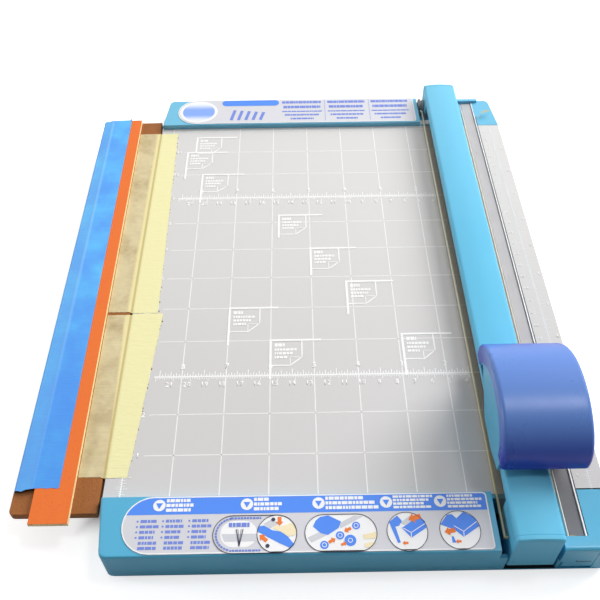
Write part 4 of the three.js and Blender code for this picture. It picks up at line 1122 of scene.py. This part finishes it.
def print_picture_parts():
    """In the pictures: the rail, the head, the wheels and the box, all in plain blue."""
    parts = label_print("front_label_parts", 3, "blue_ink")
    lines = label_print("front_label_lines", 5, "paper_ink")
    for points in DRAWN_PARTS:
        parts.shape(points)
    for near, corner, far, low in DRAWN_CORNERS:
        for end in (near, far, low):
            lines.line(*corner, *end, 0.35)
    for x, y, radius in WHEELS:
        parts.disc(x, y, radius, 18)
        lines.circle(x, y, 1.2, 0.3, 14)
    parts.finished()
    lines.finished()


def print_picture_marks():
    """Arrows, hands, dots and small bars over the pictures."""
    arrows = label_print("front_label_arrows", 5, "orange_ink")
    for arrow in ARROWS:
        arrows.arrow(*arrow)
    arrows.finished()
    skin = label_print("front_label_hands", 4, "cream_ink")
    for points in DRAWN_HANDS:
        skin.shape(points)
    skin.finished()
    dark = label_print("front_label_dots", 6, "dark_ink")
    dark.disc(-149.7, -13.5, 1.0, 14)
    dark.disc(-152.4, -26.9, 1.0, 14)
    middle = -166.2
    for reach, foot, width in ((1.7, -27.0, 0.4), (0.8, -25.6, 0.2)):
        dark.line(middle - reach, -18.2, middle, foot, width)
        dark.line(middle + reach, -18.2, middle, foot, width)
    dark.finished()
    small = label_print("front_label_small_bars", 4, "violet_ink")
    small.words(-171.6, -161.0, -16.0, 2.2, 2.6)
    middle_x, middle_y, radius = DIAL
    for turn in range(100, 262, 11):
        angle = math.radians(turn)
        x, y = middle_x + radius * math.cos(angle), middle_y + radius * math.sin(angle)
        small.bar(x - 0.6, x + 0.6, y - 0.45, y + 0.45, angle + math.pi / 2)
    for y in (-12.5, -29.1):
        small.words(-170.8, -155.6, y, 1.0, 1.8)
    small.finished()


# Rear label

OVAL = (-210.6, 324.5)
REAR_COLUMNS = ((-146.2, -114.2), (-110.6, -80.2), (-76.4, -46.4))
REAR_ROWS = ((335.6, 3.0, 0.5), (329.4, 3.2, 1.5), (323.6, 1.5, 0.5), (319.2, 2.0, 2.5),
             (314.4, 2.0, 7.0))


def print_rear_label():
    """Generic: a bare oval, a bare pill and plain bars, with no words or number."""
    edge = label_print("rear_label_edge", 0, "paper_ink")
    edge.ring(panel_points(-226.55, -42.45, 309.55, 339.35), 0.5)
    edge.shape(oval_points(*OVAL, 14.6, 13.6))
    edge.finished()
    pill = label_print("rear_label_blue", 2, "blue_ink")
    pill.shape(rounded_box(-192.8, -148.2, 331.6, 338.8, 3.5))
    pill.finished()
    field = label_print("rear_label_oval", 2, "oval_ink")
    field.shape(oval_points(*OVAL, 12.4, 11.4))
    field.finished()
    bars = label_print("rear_label_bars", 1, "violet_ink")
    for index in range(5):
        x = -185.0 + 5.6 * index
        bars.line(x, 313.4, x + 2.6, 326.0 - index * 0.7, 2.4)
    for x0, x1 in REAR_COLUMNS:
        for y, height, inset in REAR_ROWS:
            bars.words(x0 + inset, x1 - inset, y, height, 4.5)
    for x in (-112.3, -77.6):
        bars.bar(x - 0.15, x + 0.15, 311.5, 338.0)
    bars.finished()


# Tapes on the side board

BLUE_TAPE_LEFT = -283.35
BLUE_TAPE_RIGHT = -259.8
BLUE_TAPE_FRONT = 5.0
BLUE_TAPE_REAR = 316.2
BLUE_TAPE_LOW = 21.12
BLUE_TAPE_CLIMB = 2.5
MASKING_HEIGHT = 21.17
SEAM = -238.1
SPLIT = (0.42, 0.52)
SHEET = 0.1

# Each length of masking tape: its side, then x and y where its right edge starts and ends,
# the seed of its tear, and how far its left part stops short at the front and at the rear
MASKING = (("rear", -221.9, 124.15, -225.3, 302.4, 11.0, 1.0, 0.0),
           ("front", -226.0, 12.7, -218.6, 122.9, 13.0, 0.6, 0.8))


def lay_sheet(name, node, slot, finish, across, along, left, right, near, far, height):
    """A sheet of tape whose edges, ends and height are functions of where one stands."""
    clear_selection()
    bpy.ops.mesh.primitive_grid_add(x_subdivisions=across, y_subdivisions=along, size=1)
    piece = named(name)
    for vertex in piece.data.vertices:
        u, v = vertex.co.x + 0.5, vertex.co.y + 0.5
        y = near(u) + (far(u) - near(u)) * v
        x = left(y) + (right(y) - left(y)) * u
        vertex.co = place(x, y, height(x, y))
    modify(piece, "SOLIDIFY", thickness=SHEET * MM, offset=-1.0)
    smooth(piece, 60)
    dress(piece, "base", slot, finish, nodes=[node])


def ripple(x, y, size, seed):
    """Smooth chance relief from -1 to 1, over patches of the size given in millimetres."""
    return noise.noise(Vector((x / size, y / size, seed)))


def ease(value, start, end):
    """A smooth step from 0 at the start to 1 at the end."""
    share = min(max((value - start) / (end - start), 0.0), 1.0)
    return share * share * (3 - 2 * share)


def ridge(distance, width, size):
    """A low rounded ridge, highest where the distance is zero."""
    return math.exp(-(distance / width) ** 2) * size


def lay_blue_tape():
    """It climbs from the board onto the strip, and its rear right corner curls up."""
    def height(x, y):
        edge = strip_left(y)
        share = min(max((x - BLUE_TAPE_LEFT) / (edge - BLUE_TAPE_LEFT), 0.0), 1.0)
        climb = 0.55 * ease(x, BLUE_TAPE_LEFT - 0.01, -282.5) + 0.45 * share
        fold = 0.07 * ripple(x, y, 9.0, 1.0) + 0.05 * ripple(x, y * 2.5, 5.0, 2.0)
        curl = 1.6 * ease(y, 314.5, 318.0) * ease(x, -264.0, -259.5)
        return (BLUE_TAPE_LOW + BLUE_TAPE_CLIMB * climb + ridge(x - edge - 0.2, 0.9, 0.1)
                + fold * (1 - 0.5 * climb) + curl)

    def left(y):
        return BLUE_TAPE_LEFT

    def right(y):
        return BLUE_TAPE_RIGHT - STRIP_LEAN * (y - 4.5)

    def near(u):
        jag = 0.6 * ripple(u * 9, 3.0, 1.0, 5.0)
        return BLUE_TAPE_FRONT + 1.9 * ease(u, 0.0, 0.45) - 0.7 * ease(u, 0.1, 0.25) + jag

    def far(u):
        jag = 0.3 * ripple(u * 8, 9.0, 1.0, 7.0)
        return BLUE_TAPE_REAR + 1.1 * u + jag + 1.9 * ease(u, 0.93, 1.0)

    lay_sheet("blue_tape_sheet", "blue_tape", "blue_tape", "blue_tape", 46, 200,
              left, right, near, far, height)


def lay_masking_tape():
    """Two lengths with a torn right edge, pressed into the seam beside the board."""
    def height(x, y):
        fold = 0.05 * ripple(x, y, 7.0, 3.0) + 0.035 * ripple(x * 1.5, y * 3, 4.0, 4.0)
        return MASKING_HEIGHT - ridge(x - SEAM, 0.8, 0.25) + fold

    def left(y):
        return strip_right(y) + 0.35

    for side, x0, y0, x1, y1, seed, near_step, far_step in MASKING:
        def right(y):
            share = (y - y0) / (y1 - y0)
            bite = max(0.0, ripple(y, 0.0, 2.3, seed) - 0.25) * 1.5
            return x0 + (x1 - x0) * share + 0.45 * ripple(y, 0.0, 11.0, seed) - bite

        def near(u):
            jag = 0.18 * ripple(u * 14, seed, 1.0, 2.0)
            return y0 + near_step * (1 - ease(u, *SPLIT)) + jag

        def far(u):
            jag = 0.18 * ripple(u * 14, seed, 1.0, 6.0)
            return y1 + far_step * ease(u, *SPLIT) + jag

        lay_sheet("masking_sheet_" + side, "masking_tape_" + side, "masking_tape", "masking",
                  56, 180, left, right, near, far, height)


def add_tape_nibs():
    """Small dark torn bits along the ragged edge of the paper tape."""
    nibs = Print("tape_nibs", DECK_TOP + 0.02, "nib_ink", "masking_tape")
    for index in range(96):
        y = 14 + index * 3.0 + RANDOM.uniform(-1.5, 1.5)
        if y < 123:
            x = -226.0 + 7.4 * (y - 12.7) / 110.4
        else:
            x = -221.9 - 3.4 * (y - 124.8) / 177.6
        size = RANDOM.uniform(0.15, 0.55)
        x += RANDOM.uniform(-0.45, 0.2)
        nibs.bar(x, x + size, y, y + size * RANDOM.uniform(0.8, 2.8), RANDOM.uniform(-0.5, 0.5))
    nibs.finished()


def finish_fence_strip():
    """The strip: an orange face on a cream core that shows at its sides and ends."""
    piece = worked_copy("fence_strip", "strip_board", 0.12)
    dress(piece, "base", "orange", "cream", "orange", nodes=["fence_strip"])
    for face in piece.data.polygons:
        if face.normal.z > 0.6:
            face.material_index = 1


# Small things on the guide, the caps and the gate

GUIDE_LONG = (-24.0, 323.9)
GUIDE_THICK = (22.15, 24.06)
GATE_FRONT = -31.72


def add_guide_edges():
    """Sawn edges of the clear guide, which catch the light."""
    piece = eased_blocks("guide_edges", 0.08, 2, (-37.06, -36.2, *GUIDE_LONG, *GUIDE_THICK),
                         (-36.1, -34.9, -24.06, -23.6, *GUIDE_THICK))
    dress(piece, "rail", "clear", "clear_edge")
    piece = eased_blocks("guide_right_edge", 0.08, 2, (-6.0, -5.32, *GUIDE_LONG, *GUIDE_THICK))
    dress(piece, "rail", "clear", "pale_edge")


def add_cap_lip():
    """The lip of the front cap over the end of the right strip, and painted shadow along the joint
    beside it.
    """
    lip = eased_blocks("cap_lip", 0.02, 1, (5.3, 20.75, -0.4, 2.1, 20.9, 21.05))
    dress(lip, "base", "cap_plastic", "teal")
    # Painted shadow: dark bars along the joints between the strip, the deck and the cap.
    joint = Print("strip_joint_shade", DECK_TOP, "gap_shade_ink", "deck_paint")
    joint.bar(4.66, 5.25, -23.8, 318.5)
    joint.bar(5.3, 20.7, 2.1, 2.8)
    joint.finished()


def add_channel_glint():
    """A painted highlight along the channel's outer lip, and the sill behind the hinge recess."""
    # Painted highlight: a bright white bar laid on the channel's outer lip.
    glint = Print("channel_lip_highlight", 21.3, "highlight_ink", "bare_metal")
    glint.bar(3.84, 4.6, -23.9, 335.5)
    glint.finished()
    sill = eased_blocks("recess_sill", 0.2, 2, (-37.0, -30.5, 338.7, 340.1, 3.0, 9.5))
    dress(sill, "base", "cap_plastic", "teal")


def add_hinge_knuckle():
    """The grey boss on the side of the rail that the bracket's ear stands against."""
    clear_selection()
    bpy.ops.mesh.primitive_cylinder_add(vertices=40, radius=4.3 * MM, depth=2.1 * MM,
                                        location=place(-35.75, 328.6, 25.4),
                                        rotation=(0, math.pi / 2, 0))
    boss = named("hinge_knuckle")
    modify(boss, "BEVEL", width=0.5 * MM, segments=3, limit_method="ANGLE", angle_limit=0.9)
    smooth(boss)
    dress(boss, "rail", "steel", "old_steel")


def add_cap_marks():
    """A scuff on the rear cap, painted shade in the notch, and a crumb and a speck on the mat."""
    scuff = Print("cap_scuff", CAP_TOP, "scuff_ink", "cap_plastic")
    scuff.shape([(8.4, 318.4), (11.0, 318.9), (13.6, 320.2), (16.4, 320.8), (16.2, 322.2),
                 (13.4, 322.8), (11.6, 321.6), (8.8, 320.2)])
    scuff.shape([(6.0, 314.6), (7.6, 314.8), (7.4, 315.8), (6.2, 315.6)])
    scuff.finished()
    # Painted shade: dark ink on the notch floor, seen as the black gap under the rail's nose.
    notch_shade_print = Print("notch_painted_shade", 3.2, "gap_shade_ink", "cap_plastic")
    notch_shade_print.bar(-35.4, -8.9, -31.4, -1.0)
    notch_shade_print.finished()
    crumb = Print("mat_crumb", 20.6, "crumb_ink", "mat")
    crumb.shape([(-3.8, -22.6), (-2.0, -23.2), (1.0, -23.4), (1.2, -22.8), (-1.6, -22.2),
                 (-3.4, -21.8)])
    crumb.disc(-1.0, 275.1, 0.55, 10)
    crumb.finished()


def add_gate_marks():
    """Painted shade of the slot in the gate's front: a dark line with its short upright end."""
    # Painted shade: dark blocks stand in for the shade inside the engraved slot.
    depth = (GATE_FRONT - 0.02, GATE_FRONT + 0.03)
    slot = eased_blocks("gate_slot_shade", 0.02, 1, (-0.9, 6.9, *depth, 11.4, 12.1),
                        (-0.9, -0.3, *depth, 11.4, 12.9))
    dress(slot, "gate", "cap_plastic", "dark_ink")


# Solids that keep their form, with eased edges: each node, the piece that stands in for it, the
# width of its bevels, its body, its slot, its finish and the edges that are rounded further

CAP_ROUNDING = ((cap_ends, 2.6), (cap_edges, 1.5))
EASED = (
    ("deck_plate", "deck_sheet", 0.25, "base", "deck_paint", "deck"),
    ("right_deck_strip", "right_strip", 0.25, "base", "deck_paint", "deck"),
    ("front_end_cap", "front_cap", 0.35, "base", "cap_plastic", "teal", CAP_ROUNDING),
    ("rear_end_cap", "rear_cap", 0.35, "base", "cap_plastic", "teal", CAP_ROUNDING),
    ("mat_gate", "gate_door", 0.35, "gate", "cap_plastic", "teal"),
    ("mat_channel", "channel_section", 0.15, "base", "bare_metal", "channel"),
    ("cutting_mat", "mat_strip", 0.2, "base", "mat", "mat"),
    ("extension_board", "side_board", 0.5, "base", "hardboard", "hardboard"),
    ("rail_front_block", "rail_nose", 0.3, "rail", "rail_paint", "rail", ((nose_edges, 1.6),)),
    ("rail_hinge_block", "rail_tail", 0.3, "rail", "rail_paint", "rail"),
    ("hinge_bracket", "hinge_frame", 0.25, "base", "steel", "old_steel"),
    ("carriage_body", "slide_body", 0.25, "carriage", "cap_plastic", "teal"),
    ("cutter_cover", "cutter_shell", 0.0, "cutter", "cover", "cover", ((cover_edges, 2.0),)),
    ("blade_holder", "holder_plate", 0.25, "cutter", "dark", "dark"),
    ("blade_guard", "guard_plate", 0.25, "cutter", "dark", "dark"),
)
RAIL_SHELF = 31.5


def ease_solids():
    for node, name, width, body, slot, finish, *rounded in EASED:
        piece = worked_copy(node, name, width, *rounded)
        dress(piece, body, slot, finish, nodes=[node])


def ease_rail():
    """The rail: painted top plate, with the web and foot below it left bare."""
    piece = worked_copy("rail_beam", "rail_section", 0.3)
    dress(piece, "rail", "rail_paint", "rail", "web", nodes=["rail_beam"])
    for face in piece.data.polygons:
        if max(piece.data.vertices[i].co.z for i in face.vertices) < RAIL_SHELF * MM:
            face.material_index = 1


def each(name, ends=("front", "rear")):
    """The names of like nodes, which differ in their endings."""
    return [f"{name}_{end}" for end in ends]


def finish_plain_nodes():
    """Solids that are shown as they are get their finish."""
    sides = ("left", "right")
    corners = ("front_left", "front_right", "rear_left", "rear_right")
    plain = {
        "channel": each("side_rail", sides), "clear": ["paper_guide"], "mat": ["spare_mat"],
        "dark_steel": each("cross_beam", ("front", "middle", "rear")),
        "rubber": ["rest_pad", *each("foot", corners)], "pine": each("runner", ("outer", "inner")),
        "label": ["front_label_panel", "rear_label_panel"],
        "old_steel": ["bracket_screw", "hinge_pin"],
        "steel": ["gate_pin", "blade_axle", *each("deck_screw", corners), *each("rail_screw"),
                  *each("guide_screw"), *each("press_spring"), *each("cover_screw", sides)],
        "acetal": each("hinge_bush", sides) + each("glide_shoe", sides),
        "blade": ["blade"], "dark": ["blade_hub", "blade_retainer"],
    }
    for finish, nodes in plain.items():
        for node in nodes:
            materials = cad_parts[node].data.materials
            materials.clear()
            materials.append(FINISHES[finish].material)


add_camera()
set_world()
add_floor()
for lamp in LAMPS:
    add_softbox(*lamp)
ease_solids()
ease_rail()
finish_fence_strip()
finish_plain_nodes()
lay_blue_tape()
lay_masking_tape()
add_tape_nibs()
add_guide_edges()
print_grid()
print_rulers()
print_ruler_numbers()
print_side_ruler()
print_page_marks()
print_strip_ruler()
print_front_label()
print_label_heads()
print_label_columns()
print_picture_frames()
print_picture_parts()
print_picture_marks()
print_rear_label()
add_cap_lip()
add_channel_glint()
add_hinge_knuckle()
add_cap_marks()
add_gate_marks()

scene.view_settings.view_transform = "Standard"
